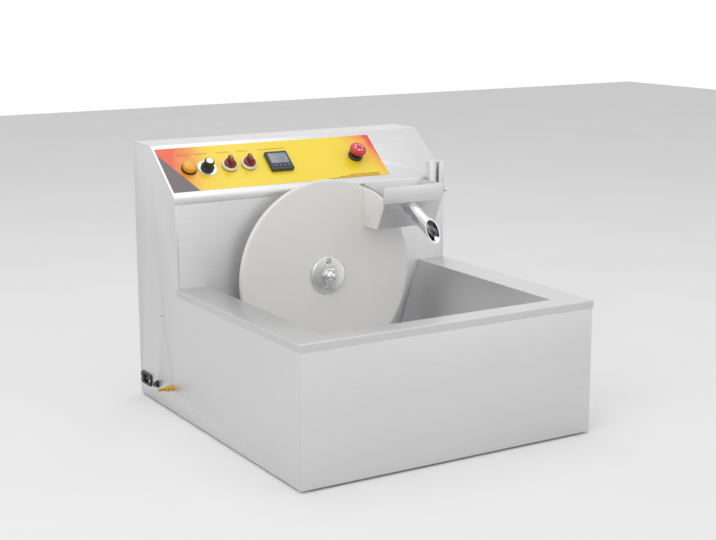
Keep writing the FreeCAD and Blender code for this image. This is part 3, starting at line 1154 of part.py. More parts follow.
# ---------------------------------------------------------------- left side fittings and electrics

def side_fittings():
    """Mains inlet, fuse holder and earth stud."""
    inlet = Piece("mains_inlet", left_frame("inlet_place", "inlet_height"))
    inlet.pad("XY", "0", "inlet_plate", box_outline("inlet_width", "inlet_length"),
              circles=[("0", f"{side}*inlet_hole_pitch/2", "inlet_screw + 0.3") for side in (-1, 1)])
    inlet.dress("Fillet", "7", lambda edge: runs_along(edge, Vector(0, 0, 1)))
    inlet.pad("XY", "-inlet_body_depth", "0.5", box_outline("inlet_body_width", "inlet_body_length"))
    inlet.cut("XY", "inlet_plate - socket_depth", "inlet_plate", box_outline("socket_width", "socket_length"))
    for x, y in (("1.5", "0"), ("-2.5", "-pin_pitch"), ("-2.5", "pin_pitch")):
        inlet.pad("XY", "inlet_plate - socket_depth - 1", "inlet_plate - socket_depth + pin_length",
                  box_outline("4", "2", x, y))
    seats = [(f"-{SIDE} - inlet_plate", f"inlet_place + {side}*inlet_hole_pitch/2", "inlet_height") for side in (-1, 1)]
    fasteners("inlet_screws", [(place, (-1, 0, 0)) for place in seats], "inlet_screw", "10", "5.4", "1.6")

    holder = Piece("fuse_holder", left_frame("fuse_place", "fuse_height"))
    bore = "(fuse_cap/2 - 1.5 + running_gap)"
    holder.revolve([
        ("0", "-fuse_depth"), ("fuse_barrel/2", "-fuse_depth"), ("fuse_barrel/2", "0"), ("fuse_flange/2", "0"),
        ("fuse_flange/2", "1.5"), ("fuse_flange/2 - 1", "2.5"), (bore, "2.5"), (bore, "-8"), ("0", "-8"),
    ])
    cap = Piece("fuse_cap", left_frame("fuse_place", "fuse_height"))
    cap.revolve([
        ("0", "-7"), ("fuse_cap/2 - 1.5", "-7"), ("fuse_cap/2 - 1.5", "2.8"), ("fuse_cap/2", "2.8"),
        ("fuse_cap/2", "2.3 + fuse_cap_rise"), ("fuse_cap/2 - 0.7", "3 + fuse_cap_rise"), ("0", "3 + fuse_cap_rise"),
    ])
    cap.cut("XY", "1.5 + fuse_cap_rise", "4 + fuse_cap_rise", box_outline("1.4", "fuse_cap + 2"))

    stud = Piece("earth_stud", left_frame("stud_place", "stud_height"))
    stud.pad("XY", "-panel - stud_root", "stud_reach - 1", circles=[("0", "0", "stud_diameter")])
    tip = number_of("stud_reach - 1")
    stud.dress("Chamfer", "0.8", lambda edge: edge.CenterOfMass.z > tip - 0.01)
    nuts = Piece("earth_nuts", left_frame("stud_place", "stud_height"))
    for low in ("0", "(washer_thick + stud_nut + stud_gap)"):
        nuts.pad("XY", low, f"{low} + washer_thick",
                 circles=[("0", "0", "washer_diameter"), ("0", "0", "stud_diameter")])
        nuts.pad("XY", f"{low} + washer_thick", f"{low} + washer_thick + stud_nut", hexagon("stud_flats"),
                 circles=[("0", "0", "stud_diameter")])


def base_block(name, x, length, width, height):
    """Block-shaped electric device that stands on the base plate."""
    piece = Piece(name, frame(x, "electrics_row", "foot_lift + 2*panel"))
    piece.pad("XY", "0", height, box_outline(length, width))
    piece.dress("Fillet", "1.5", lambda edge: runs_along(edge, Vector(0, 0, 1)))
    return piece


def electrics():
    """Relay of the heater and speed drive of the motor."""
    relay = base_block("solid_state_relay", "-20", "relay_length", "relay_width", "relay_height")
    relay.cut("XY", "relay_height - 8", "relay_height",
              rectangle("-relay_length/2 - 1", "-8", "-relay_length/2 + 9", "8"))
    relay.cut("XY", "relay_height - 8", "relay_height",
              rectangle("relay_length/2 - 9", "-8", "relay_length/2 + 1", "8"))
    unit = base_block("motor_speed_drive", "130", "drive_length", "drive_width", "drive_height")
    fin = unit.cut("XY", "drive_height - 14", "drive_height", rectangle(
        "-drive_length/2 + 6", "-drive_width/2 - 1", "-drive_length/2 + 9", "drive_width/2 + 1"))
    unit.repeat(fin, "X", "7", "14")


def export():
    """Check every object and write each sub-part to its own file."""
    doc.recompute()
    for item in doc.Objects:
        if {"Invalid", "Error"} & set(item.State):
            raise RuntimeError(f"{item.Name} ({item.Label}) failed: {item.State}")
    os.makedirs("parts", exist_ok=True)
    for piece in pieces:
        shape = piece.Shape
        if shape.isNull() or not shape.isValid():
            raise RuntimeError(f"{piece.Label} has no valid shape")
        shape.exportStep(f"parts/{piece.Label}.step")
        print(f"{piece.Label}: {len(shape.Solids)} solid(s), {shape.Volume:.0f} mm3")


enclosure()
basin()
wheel()
drive()
trough()
hanger()
control_film()
lamp()
speed_dial()
selector(1, "selector_first")
selector(2, "selector_second")
controller()
emergency_stop()
side_fittings()
electrics()
export()
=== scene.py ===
"""Dress for a wheel-type chocolate tempering machine: finishes, fine detail, light, floor and camera.

Every new piece is modelled in millimetres in a local frame of its own and then carried to its place in metres, so
that a piece's sizes read as a maker would write them.
"""
import json
import logging
import math
from dataclasses import dataclass
from enum import Enum
from typing import Callable, Iterable, Optional, Sequence

import bmesh
import bpy
from mathutils import Matrix, Vector

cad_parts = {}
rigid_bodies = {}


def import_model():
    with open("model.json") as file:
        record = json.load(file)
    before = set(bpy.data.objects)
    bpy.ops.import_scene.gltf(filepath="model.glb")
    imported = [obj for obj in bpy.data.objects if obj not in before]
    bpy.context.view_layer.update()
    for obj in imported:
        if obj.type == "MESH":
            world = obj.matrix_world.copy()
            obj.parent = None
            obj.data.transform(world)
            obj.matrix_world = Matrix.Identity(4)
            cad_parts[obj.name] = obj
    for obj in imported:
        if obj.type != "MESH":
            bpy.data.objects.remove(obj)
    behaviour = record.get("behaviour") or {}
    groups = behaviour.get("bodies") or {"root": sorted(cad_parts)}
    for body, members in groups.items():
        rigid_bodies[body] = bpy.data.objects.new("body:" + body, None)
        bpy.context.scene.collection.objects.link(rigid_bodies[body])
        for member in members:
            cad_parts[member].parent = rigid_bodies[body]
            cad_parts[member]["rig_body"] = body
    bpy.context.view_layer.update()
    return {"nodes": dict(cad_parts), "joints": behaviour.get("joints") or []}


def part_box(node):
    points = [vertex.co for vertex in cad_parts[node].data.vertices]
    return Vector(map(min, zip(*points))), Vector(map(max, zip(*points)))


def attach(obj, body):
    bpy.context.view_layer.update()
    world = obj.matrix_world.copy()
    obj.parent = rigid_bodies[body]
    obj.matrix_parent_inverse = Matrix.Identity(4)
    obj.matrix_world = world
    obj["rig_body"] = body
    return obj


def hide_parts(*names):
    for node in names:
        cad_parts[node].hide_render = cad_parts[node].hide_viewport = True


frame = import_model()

MM = 0.001
# Faces that meet at less than this angle are shaded as one.
SMOOTH_ANGLE = math.radians(32.0)
log = logging.getLogger("tempering_machine")


# ---------------------------------------------------------------- colours and nodes

def linear(code: str) -> tuple[float, float, float, float]:
    """Turn an sRGB hex value into a linear colour.

    Args:
        code: Six hex digits, such as "E8E8E6".

    Returns:
        Red, green, blue and an alpha of one.
    """
    channels = []
    for start in (0, 2, 4):
        value = int(code[start:start + 2], 16)/255
        channels.append(value/12.92 if value <= 0.04045 else ((value + 0.055)/1.055)**2.4)
    return channels[0], channels[1], channels[2], 1.0


def add_node(tree: bpy.types.NodeTree, kind: str, inputs: Optional[dict] = None, **settings) -> bpy.types.Node:
    """Add one node with its settings, values and links.

    Args:
        tree: Node tree that gets the node.
        kind: Blender's name for the node type.
        inputs: Socket names or numbers, each with a value or with the output socket to link.
        **settings: Attributes of the node itself.

    Returns:
        The new node.
    """
    node = tree.nodes.new(kind)
    for key, value in settings.items():
        setattr(node, key, value)
    for key, value in (inputs or {}).items():
        socket = node.inputs[key]
        if isinstance(value, bpy.types.NodeSocket):
            tree.links.new(value, socket)
        else:
            socket.default_value = value
    return node


def add_ramp(tree: bpy.types.NodeTree, factor: bpy.types.NodeSocket,
             stops: Sequence[tuple]) -> bpy.types.NodeSocket:
    """Add a colour ramp.

    Args:
        tree: Node tree that gets the ramp.
        factor: Socket that drives it.
        stops: Pairs of a position and a linear colour.

    Returns:
        The ramp's colour output.
    """
    ramp = add_node(tree, "ShaderNodeValToRGB", {"Fac": factor})
    elements = ramp.color_ramp.elements
    while len(elements) < len(stops):
        elements.new(0.5)
    for element, (position, colour) in zip(elements, stops):
        element.position = position
        element.color = colour
    return ramp.outputs["Color"]


class Grain(Enum):
    """Direction of a surface's fine lines: how far a pattern is stretched along X, Y and Z."""

    EVEN = (1.0, 1.0, 1.0)
    LEVEL = (0.02, 0.02, 1.0)


@dataclass(frozen=True)
class Finish:
    """A surface with a fine pattern that varies its colour, gloss and height.

    Attributes:
        title: Name of the material.
        colour: sRGB hex value.
        metallic: 1 for bare metal.
        roughness: Middle of the roughness.
        grit_mm: Spacing of the fine pattern.
        grain: Direction of its lines.
        tint: How far the colour varies.
        relief_mm: Height of the pattern.
        coat: Weight of a clear coat.
        cloud_mm: Size of the wide, soft patches that handling and wiping leave.
    """

    title: str
    colour: str
    metallic: float = 0.0
    roughness: float = 0.4
    grit_mm: float = 1.0
    grain: Grain = Grain.EVEN
    tint: float = 0.03
    relief_mm: float = 0.01
    coat: float = 0.0
    cloud_mm: float = 90.0

    def material(self) -> bpy.types.Material:
        """Build the material once and give it back afterwards."""
        known = bpy.data.materials.get(self.title)
        if known:
            return known
        made = bpy.data.materials.new(self.title)
        made.use_nodes = True
        tree = made.node_tree
        tree.nodes.clear()
        output = add_node(tree, "ShaderNodeOutputMaterial")
        where = add_node(tree, "ShaderNodeTexCoord").outputs["Object"]
        tree.links.new(self.surface(tree, where), output.inputs["Surface"])
        return made

    def colour_socket(self, tree: bpy.types.NodeTree, where: bpy.types.NodeSocket,
                      pattern: bpy.types.NodeSocket) -> bpy.types.NodeSocket:
        """Colour that varies a little with the pattern."""
        base = linear(self.colour)
        low = tuple(channel*(1 - self.tint) for channel in base[:3]) + (1.0,)
        high = tuple(min(1.0, channel*(1 + self.tint)) for channel in base[:3]) + (1.0,)
        return add_ramp(tree, pattern, [(0.25, low), (0.75, high)])

    def surface(self, tree: bpy.types.NodeTree, where: bpy.types.NodeSocket) -> bpy.types.NodeSocket:
        """Wire the pattern to the shader.

        Args:
            tree: The material's node tree.
            where: Object coordinates, in metres.

        Returns:
            The shader's output.
        """
        density = 1/(self.grit_mm*MM)
        lines = add_node(tree, "ShaderNodeMapping", {"Vector": where, "Scale": self.grain.value})
        fine = add_node(tree, "ShaderNodeTexNoise", {
            "Vector": lines.outputs["Vector"], "Scale": density, "Detail": 3.0, "Roughness": 0.6})
        cloud = add_node(tree, "ShaderNodeTexNoise", {
            "Vector": where, "Scale": 1/(self.cloud_mm*MM), "Detail": 2.0, "Roughness": 0.5})
        gloss = add_node(tree, "ShaderNodeMapRange", {
            "Value": cloud.outputs["Fac"], "From Min": 0.3, "From Max": 0.7,
            "To Min": max(0.02, self.roughness*0.88), "To Max": min(1.0, self.roughness*1.12)})
        bump = add_node(tree, "ShaderNodeBump", {
            "Height": fine.outputs["Fac"], "Distance": self.relief_mm*MM, "Strength": 1.0})
        shader = add_node(tree, "ShaderNodeBsdfPrincipled", {
            "Base Color": self.colour_socket(tree, where, fine.outputs["Fac"]),
            "Metallic": self.metallic, "Roughness": gloss.outputs["Result"],
            "Coat Weight": self.coat, "Coat Roughness": 0.08, "Normal": bump.outputs["Normal"]})
        return shader.outputs["BSDF"]


@dataclass(frozen=True)
class TurnedFinish(Finish):
    """A face cut on a lathe: fine rings about the wheel's shaft.

    Attributes:
        centre: A point on the shaft, in metres.
        ring_mm: Spacing of the tool marks.
    """

    centre: tuple = (0.0, 0.0, 0.0)
    ring_mm: float = 15.09

    def surface(self, tree: bpy.types.NodeTree, where: bpy.types.NodeSocket) -> bpy.types.NodeSocket:
        """Wire the rings to the shader.

        Args:
            tree: The material's node tree.
            where: Object coordinates, in metres.

        Returns:
            The shader's output.
        """
        about = add_node(tree, "ShaderNodeMapping", {
            "Vector": where, "Location": tuple(-part for part in self.centre)})
        # At a scale of 1 the rings lie a tenth of pi apart.
        rings = add_node(tree, "ShaderNodeTexWave", {
            "Vector": about.outputs["Vector"], "Scale": math.pi/10/(self.ring_mm*MM), "Distortion": 0.4,
            "Detail": 1.0}, wave_type="RINGS", rings_direction="Y")
        fine = add_node(tree, "ShaderNodeTexNoise", {
            "Vector": where, "Scale": 1/(self.grit_mm*MM), "Detail": 2.0})
        cloud = add_node(tree, "ShaderNodeTexNoise", {"Vector": where, "Scale": 1/(self.cloud_mm*MM)})
        gloss = add_node(tree, "ShaderNodeMapRange", {
            "Value": cloud.outputs["Fac"], "From Min": 0.3, "From Max": 0.7,
            "To Min": self.roughness*0.9, "To Max": self.roughness*1.1})
        ringed = add_node(tree, "ShaderNodeBump", {
            "Height": rings.outputs["Fac"], "Distance": self.relief_mm*MM})
        bump = add_node(tree, "ShaderNodeBump", {
            "Height": fine.outputs["Fac"], "Distance": self.relief_mm*MM*0.4, "Normal": ringed.outputs["Normal"]})
        shader = add_node(tree, "ShaderNodeBsdfPrincipled", {
            "Base Color": self.colour_socket(tree, where, cloud.outputs["Fac"]), "Metallic": self.metallic,
            "Roughness": gloss.outputs["Result"], "Normal": bump.outputs["Normal"]})
        return shader.outputs["BSDF"]


# Stainless sheet, ground and brushed: pale, soft reflections with faint level lines.
SHEET_STEEL = Finish("brushed_stainless_sheet", "DADADB", 0.82, 0.42, 1.6, Grain.LEVEL, 0.025, 0.004)
BASIN_STEEL = Finish("brushed_stainless_basin", "D2D2D3", 0.85, 0.36, 1.6, Grain.LEVEL, 0.025, 0.004)
# Mill-finish sheet inside the machine: duller, with no brushing.
INNER_STEEL = Finish("mill_finish_steel", "B4B5B8", 0.9, 0.48, 2.5, Grain.EVEN, 0.06, 0.006)
ZINC_STEEL = Finish("zinc_plated_steel", "C0C2C6", 0.9, 0.3, 0.8, Grain.EVEN, 0.05, 0.004)
# Turned and polished stainless: near mirror, with faint wiping marks.
POLISHED_STEEL = Finish("polished_stainless", "D4D4D6", 1.0, 0.12, 1.2, Grain.EVEN, 0.02, 0.001, 0.0, 30.0)
HUB_STEEL = Finish("turned_stainless", "D8D8D6", 0.9, 0.26, 1.0, Grain.EVEN, 0.03, 0.003, 0.0, 25.0)
# Milky food-grade polyethylene: soft sheen.
FOOD_PLASTIC = Finish("food_grade_polyethylene", "F0EEE9", 0.0, 0.42, 0.9, Grain.EVEN, 0.012, 0.006)
BLACK_PLASTIC = Finish("moulded_black_abs", "17181A", 0.0, 0.42, 0.6, Grain.EVEN, 0.12, 0.02)
GREY_PLASTIC = Finish("moulded_slate_abs", "3A3D44", 0.0, 0.38, 0.6, Grain.EVEN, 0.08, 0.015)
RUBBER = Finish("moulded_rubber", "232323", 0.0, 0.75, 0.8, Grain.EVEN, 0.1, 0.05)
CREAM_BEZEL = Finish("moulded_cream_bezel", "EFECE3", 0.0, 0.25, 0.8, Grain.EVEN, 0.01, 0.004, 0.3)
MAROON_KNOB = Finish("moulded_maroon_nylon", "7A1620", 0.0, 0.3, 0.6, Grain.EVEN, 0.06, 0.01, 0.25)
RED_MUSHROOM = Finish("moulded_signal_red", "D4202A", 0.0, 0.28, 0.8, Grain.EVEN, 0.03, 0.006, 0.3)
AMBER_LENS = Finish("moulded_amber_polycarbonate", "F5B018", 0.0, 0.2, 0.9, Grain.EVEN, 0.04, 0.004, 0.4)
SPUN_ALUMINIUM = Finish("spun_aluminium", "E4E5E6", 0.9, 0.28, 0.5, Grain.EVEN, 0.04, 0.004)
LCD_GLASS = Finish("display_window", "8F96A3", 0.0, 0.12, 6.0, Grain.EVEN, 0.03, 0.0005, 0.5, 20.0)
LCD_SEGMENT = Finish("display_segment", "6E7684", 0.0, 0.3, 1.0, Grain.EVEN, 0.03, 0.001)
WHITE_MARK = Finish("printed_white", "F2F2F0", 0.0, 0.5, 0.6, Grain.EVEN, 0.02, 0.001)
BROWN_MARK = Finish("printed_brown", "9A3A1C", 0.0, 0.5, 0.6, Grain.EVEN, 0.05, 0.001)
BLACK_MARK = Finish("printed_black", "1B1B1D", 0.0, 0.5, 0.6, Grain.EVEN, 0.05, 0.001)
BRASS = Finish("machined_brass", "D8B45A", 0.95, 0.24, 0.6, Grain.EVEN, 0.06, 0.004)
CAST_ALUMINIUM = Finish("cast_aluminium", "A9ABAE", 0.85, 0.5, 0.9, Grain.EVEN, 0.08, 0.04)
MOTOR_PAINT = Finish("motor_enamel", "24272C", 0.0, 0.35, 0.7, Grain.EVEN, 0.08, 0.02)
RELAY_PLASTIC = Finish("moulded_ivory_abs", "D6D3C6", 0.0, 0.45, 0.7, Grain.EVEN, 0.03, 0.01)
HEATER_FOIL = Finish("heater_aluminium", "C8C9CB", 0.9, 0.4, 3.0, Grain.EVEN, 0.06, 0.02)
WELD_STEEL = Finish("weld_bead", "B9B6B0", 0.9, 0.34, 1.4, Grain.EVEN, 0.08, 0.03)


@dataclass(frozen=True)
class PrintedFilm(Finish):
    """Polyester control film, printed from behind: yellow with slanted bands at its ends, under a clear gloss.

    Attributes:
        tilt: Slope of the console, in radians.
        corner: Lower left corner of the film, in metres.
        length: Length of the film, in metres.
    """

    tilt: float = 0.0
    corner: tuple = (0.0, 0.0, 0.0)
    length: float = 0.47

    def surface(self, tree: bpy.types.NodeTree, where: bpy.types.NodeSocket) -> bpy.types.NodeSocket:
        """Lay out the print in the plane of the console.

        Args:
            tree: The material's node tree.
            where: Object coordinates, in metres.

        Returns:
            The shader's output.
        """
        from_corner = add_node(tree, "ShaderNodeMapping", {
            "Vector": where, "Location": tuple(-part for part in self.corner)})
        flat = add_node(tree, "ShaderNodeMapping", {
            "Vector": from_corner.outputs["Vector"], "Rotation": (-self.tilt, 0.0, 0.0)})
        axes = add_node(tree, "ShaderNodeSeparateXYZ", {"Vector": flat.outputs["Vector"]})
        ragged = add_node(tree, "ShaderNodeTexNoise", {
            "Vector": flat.outputs["Vector"], "Scale": 1/(26*MM), "Detail": 4.0, "Roughness": 0.6})
        along = axes.outputs["X"]
        up = axes.outputs["Y"]

        def slanted(lean: float, shift: float, width: float, wobble: float) -> bpy.types.NodeSocket:
            """Factor that rises from 0 to 1 across a slanted line, over a given width in metres."""
            leaning = add_node(tree, "ShaderNodeMath", {0: up, 1: lean, 2: along}, operation="MULTIPLY_ADD")
            worn = add_node(tree, "ShaderNodeMath", {0: ragged.outputs["Fac"], 1: wobble,
                                                     2: leaning.outputs[0]}, operation="MULTIPLY_ADD")
            return add_node(tree, "ShaderNodeMapRange", {
                "Value": worn.outputs[0], "From Min": shift, "From Max": shift + width}).outputs["Result"]

        def over(below: object, above: object, factor: bpy.types.NodeSocket) -> bpy.types.NodeSocket:
            """Mix two colours."""
            mixed = add_node(tree, "ShaderNodeMix", {"Factor": factor, "A": below, "B": above}, data_type="RGBA")
            return mixed.outputs["Result"]

        yellow, gold = linear("FFE233"), linear("FFC61E")
        red, slate = linear("F0603A"), linear("6C5E63")
        ground = over(gold, yellow, slanted(0.0, 0.0, 0.16, 0.05))
        glow = over(red, ground, slanted(-0.45, 0.01, 0.075, 0.045))
        corner = over(slate, glow, slanted(0.55, 0.052, 0.004, 0.0))
        far = over(corner, linear("FF9A3C"), slanted(0.5, self.length + 0.002, 0.05, 0.04))
        edge = over(far, linear("EE4A3C"), slanted(0.3, self.length + 0.018, 0.012, 0.015))
        fine = add_node(tree, "ShaderNodeTexNoise", {"Vector": where, "Scale": 1/(self.grit_mm*MM)})
        bump = add_node(tree, "ShaderNodeBump", {"Height": fine.outputs["Fac"], "Distance": self.relief_mm*MM})
        shader = add_node(tree, "ShaderNodeBsdfPrincipled", {
            "Base Color": edge, "Roughness": self.roughness, "Coat Weight": self.coat, "Coat Roughness": 0.1,
            "Normal": bump.outputs["Normal"]})
        return shader.outputs["BSDF"]


# ---------------------------------------------------------------- meshes

Point = tuple[float, float]


def spun(profile: Sequence[Point], steps: int = 64) -> bmesh.types.BMesh:
    """Turn a profile about the local z axis.

    Args:
        profile: Points of radius and height, in order along the outline.
        steps: Segments round the axis.

    Returns:
        A closed mesh, in millimetres.
    """
    bm = bmesh.new()
    line = [bm.verts.new((radius, 0.0, height)) for radius, height in profile]
    pairs = zip(line, line[1:] + line[:1])
    edges = [bm.edges.new(pair) for pair in pairs if (pair[0].co - pair[1].co).length > 0]
    bmesh.ops.spin(bm, geom=line + edges, cent=(0, 0, 0), axis=(0, 0, 1), angle=2*math.pi, steps=steps,
                   use_merge=True, use_duplicate=False)
    bmesh.ops.remove_doubles(bm, verts=bm.verts, dist=1e-4)
    bmesh.ops.dissolve_degenerate(bm, edges=bm.edges, dist=1e-4)
    loose = [edge for edge in bm.edges if not edge.link_faces]
    bmesh.ops.delete(bm, geom=loose, context="EDGES")
    bmesh.ops.recalc_face_normals(bm, faces=bm.faces)
    return bm


def block(width: float, depth: float, height: float,
          centre: Sequence[float] = (0, 0, 0)) -> bmesh.types.BMesh:
    """Box of a given size about a point.

    Args:
        width: Size along local x.
        depth: Size along local y.
        height: Size along local z.
        centre: Its middle.

    Returns:
        The box, in millimetres.
    """
    bm = bmesh.new()
    bmesh.ops.create_cube(bm, size=1.0)
    bmesh.ops.scale(bm, vec=(width, depth, height), verts=bm.verts)
    bmesh.ops.translate(bm, vec=centre, verts=bm.verts)
    return bm


def prism(outline: Sequence[Point], low: float, high: float) -> bmesh.types.BMesh:
    """Straight prism over an outline in the local plane.

    Args:
        outline: Corners in order.
        low: Level of its underside.
        high: Level of its top.

    Returns:
        The closed prism, in millimetres.
    """
    bm = bmesh.new()
    face = bm.faces.new([bm.verts.new((x, y, low)) for x, y in outline])
    raised = bmesh.ops.extrude_face_region(bm, geom=[face])
    tops = [item for item in raised["geom"] if isinstance(item, bmesh.types.BMVert)]
    bmesh.ops.translate(bm, vec=(0, 0, high - low), verts=tops)
    bmesh.ops.recalc_face_normals(bm, faces=bm.faces)
    return bm


def polygon(sides: int, radius: float, turn: float = 0.0) -> list[Point]:
    """Corners of a regular outline."""
    return [(radius*math.cos(turn + 2*math.pi*side/sides), radius*math.sin(turn + 2*math.pi*side/sides))
            for side in range(sides)]


def bevelled(bm: bmesh.types.BMesh, width: float, segments: int = 3,
             angle: float = 30.0) -> bmesh.types.BMesh:
    """Round a mesh's sharp edges.

    Args:
        bm: The mesh, which is changed.
        width: Width of the bevel.
        segments: Faces across the rounding.
        angle: Least angle between two faces, in degrees.

    Returns:
        The same mesh.
    """
    limit = math.radians(angle)
    sharp = [edge for edge in bm.edges if len(edge.link_faces) == 2 and edge.calc_face_angle(0.0) > limit]
    bmesh.ops.bevel(bm, geom=sharp, offset=width, offset_type="OFFSET", segments=segments, profile=0.5,
                    affect="EDGES", clamp_overlap=True, material=-1)
    return bm


def joined(parts: Iterable[bmesh.types.BMesh]) -> bmesh.types.BMesh:
    """Gather several meshes in one, and free them."""
    whole = bmesh.new()
    for part in parts:
        holder = bpy.data.meshes.new("part")
        part.to_mesh(holder)
        part.free()
        whole.from_mesh(holder)
        bpy.data.meshes.remove(holder)
    return whole


def moved(bm: bmesh.types.BMesh, place: Matrix) -> bmesh.types.BMesh:
    """Carry a mesh to another frame."""
    bmesh.ops.transform(bm, matrix=place, verts=bm.verts)
    return bm


def repeated(make: Callable[[], bmesh.types.BMesh], places: Iterable[Matrix]) -> bmesh.types.BMesh:
    """Copies of one mesh at several places."""
    return joined(moved(make(), place) for place in places)


def seat(origin: Sequence[float], across: Sequence[float], up: Sequence[float]) -> Matrix:
    """Frame of a local model: millimetres to metres, then a turn and a shift.

    Args:
        origin: Where the local origin goes, in metres.
        across: Direction of the local x axis.
        up: Direction of the local y axis.

    Returns:
        The matrix of the frame.
    """
    x_axis, y_axis = Vector(across).normalized(), Vector(up).normalized()
    turn = Matrix((x_axis, y_axis, x_axis.cross(y_axis))).transposed().to_4x4()
    return Matrix.Translation(origin) @ turn @ Matrix.Scale(MM, 4)


def deliver(name: str, bm: bmesh.types.BMesh, finishes: Sequence[Finish], body: str,
            place: Optional[Matrix] = None, stands_for: Sequence[str] = ()) -> bpy.types.Object:
    """Turn a mesh into a piece that rides on a body.

    Args:
        name: Name of the piece.
        bm: Its mesh, which is freed.
        finishes: One finish for each material number of its faces.
        body: Body that carries it.
        place: Frame from the local model to the object, if the mesh isn't there yet.
        stands_for: CAD nodes that it replaces.

    Returns:
        The new object.
    """
    if place is not None:
        moved(bm, place)
    mesh = bpy.data.meshes.new(name)
    bm.to_mesh(mesh)
    bm.free()
    mesh.shade_smooth()
    mesh.set_sharp_from_angle(angle=SMOOTH_ANGLE)
    for finish in finishes:
        mesh.materials.append(finish.material())
    piece = bpy.data.objects.new(name, mesh)
    bpy.context.scene.collection.objects.link(piece)
    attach(piece, body)
    if stands_for:
        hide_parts(*stands_for)
    log.info("%s on %s, %d faces", name, body, len(mesh.polygons))
    return piece


def body_of(node: str) -> str:
    """Name of the body that carries a CAD node."""
    return frame["nodes"][node]["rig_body"]


def dress(nodes: Iterable[str], finish: Finish) -> None:
    """Give CAD nodes a finish and leave their shape as it is."""
    for node in nodes:
        mesh = frame["nodes"][node].data
        mesh.materials.clear()
        mesh.materials.append(finish.material())
        log.info("%s keeps its CAD shape in %s", node, finish.title)


def soften(node: str, finish: Finish, width: float, segments: int = 2) -> bpy.types.Object:
    """Replace a CAD node by a copy of itself with rounded edges.

    Args:
        node: The CAD node.
        finish: Finish of the copy.
        width: Width of the rounding, in millimetres.
        segments: Faces across it.

    Returns:
        The new piece.
    """
    bm = bmesh.new()
    bm.from_mesh(frame["nodes"][node].data)
    bmesh.ops.remove_doubles(bm, verts=bm.verts, dist=1e-6)
    bmesh.ops.dissolve_limit(bm, angle_limit=math.radians(0.6), verts=bm.verts, edges=bm.edges,
                             use_dissolve_boundaries=False)
    bevelled(bm, width*MM, segments)
    return deliver(f"{node}_finished", bm, [finish], body_of(node), stands_for=[node])


def joint(name: str) -> dict:
    """A joint of the frame, by name."""
    return next(item for item in frame["joints"] if item["name"] == name)


def middle(node: str) -> Vector:
    """Middle of a CAD node's box."""
    low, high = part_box(node)
    return (low + high)/2


# ---------------------------------------------------------------- sub-assemblies

@dataclass
class Enclosure:
    """Folded stainless sheets of the body, its feet and its screws.

    Attributes:
        bend: Outer radius of the small bends, in millimetres.
        head: Diameter of the pan heads.
        rise: Height of the pan heads.
        cross: Length of the cross recess.
        shank: Length of the CAD screws under their heads.
    """

    bend: float = 0.7
    head: float = 7.6
    rise: float = 2.6
    cross: float = 4.2
    shank: float = 8.0

    def build(self) -> None:
        """Dress the sheets and replace the screws."""
        for node in ("left_side_panel", "right_side_panel", "tub_front_panel", "splash_panel", "rear_cover"):
            soften(node, SHEET_STEEL, self.bend)
        soften("console_panel", SHEET_STEEL, self.bend)
        dress(["base_plate"], INNER_STEEL)
        soften("feet", RUBBER, 0.8)
        self.screws()

    def pan_head(self) -> bmesh.types.BMesh:
        """Pan head with a cross recess, upwards along z, with a short shank below."""
        radius, rise, depth = self.head/2, self.rise, 1.3
        head = spun([(0, -6), (1.9, -6), (1.9, 0), (radius, 0), (radius, rise*0.45), (radius*0.9, rise*0.78),
                     (radius*0.62, rise*0.96), (self.cross/2, rise), (self.cross/2, rise - depth),
                     (0, rise - depth)], 32)
        corners = [block(self.cross*0.275, self.cross*0.32, depth*0.98,
                         (side_x*self.cross*0.198, side_y*self.cross*0.1152, rise - depth/2))
                   for side_x in (-1, 1) for side_y in (-1, 1)]
        return joined([head] + corners)

    def screws(self) -> None:
        """Replace the panel screws, which lie on the back, the sides and inside the tower."""
        mesh = frame["nodes"]["panel_screws"].data
        bm = bmesh.new()
        bm.from_mesh(mesh)
        bmesh.ops.remove_doubles(bm, verts=bm.verts, dist=1e-6)
        groups = islands(bm)
        bm.free()
        places = []
        for low, high in groups:
            size, centre = high - low, (low + high)/2
            thin = min(range(3), key=lambda axis: abs(size[axis] - (self.shank + self.rise)*MM))
            outward = Vector((0, 0, 0))
            outward[thin] = 1.0 if centre[thin] > 0 else -1.0
            tip = centre + outward*(size[thin]/2 - self.rise*MM)
            places.append(seat(tip, Vector((0, 0, 1)).cross(outward), (0, 0, 1)))
        heads = repeated(self.pan_head, places)
        deliver("panel_screw_heads", heads, [POLISHED_STEEL], "body", stands_for=["panel_screws"])


def islands(bm: bmesh.types.BMesh) -> list[tuple[Vector, Vector]]:
    """Boxes of the separate solids of a mesh.

    Args:
        bm: The mesh.

    Returns:
        Lowest and highest corner of each solid.
    """
    waiting = set(bm.verts)
    boxes = []
    while waiting:
        front = [waiting.pop()]
        found = list(front)
        while front:
            vert = front.pop()
            for edge in vert.link_edges:
                other = edge.other_vert(vert)
                if other in waiting:
                    waiting.remove(other)
                    front.append(other)
                    found.append(other)
        low = Vector(tuple(min(vert.co[axis] for vert in found) for axis in range(3)))
        high = Vector(tuple(max(vert.co[axis] for vert in found) for axis in range(3)))
        boxes.append((low, high))
    return boxes


@dataclass
class Basin:
    """Welded tank with its rim, and the heater under it.

    Attributes:
        rounding: Radius along the rim and the welded corners, in millimetres.
    """

    rounding: float = 1.2

    def build(self) -> None:
        """Round the tank's edges and dress the heater."""
        soften("basin", BASIN_STEEL, self.rounding, 3)
        dress(["basin_heater"], HEATER_FOIL)


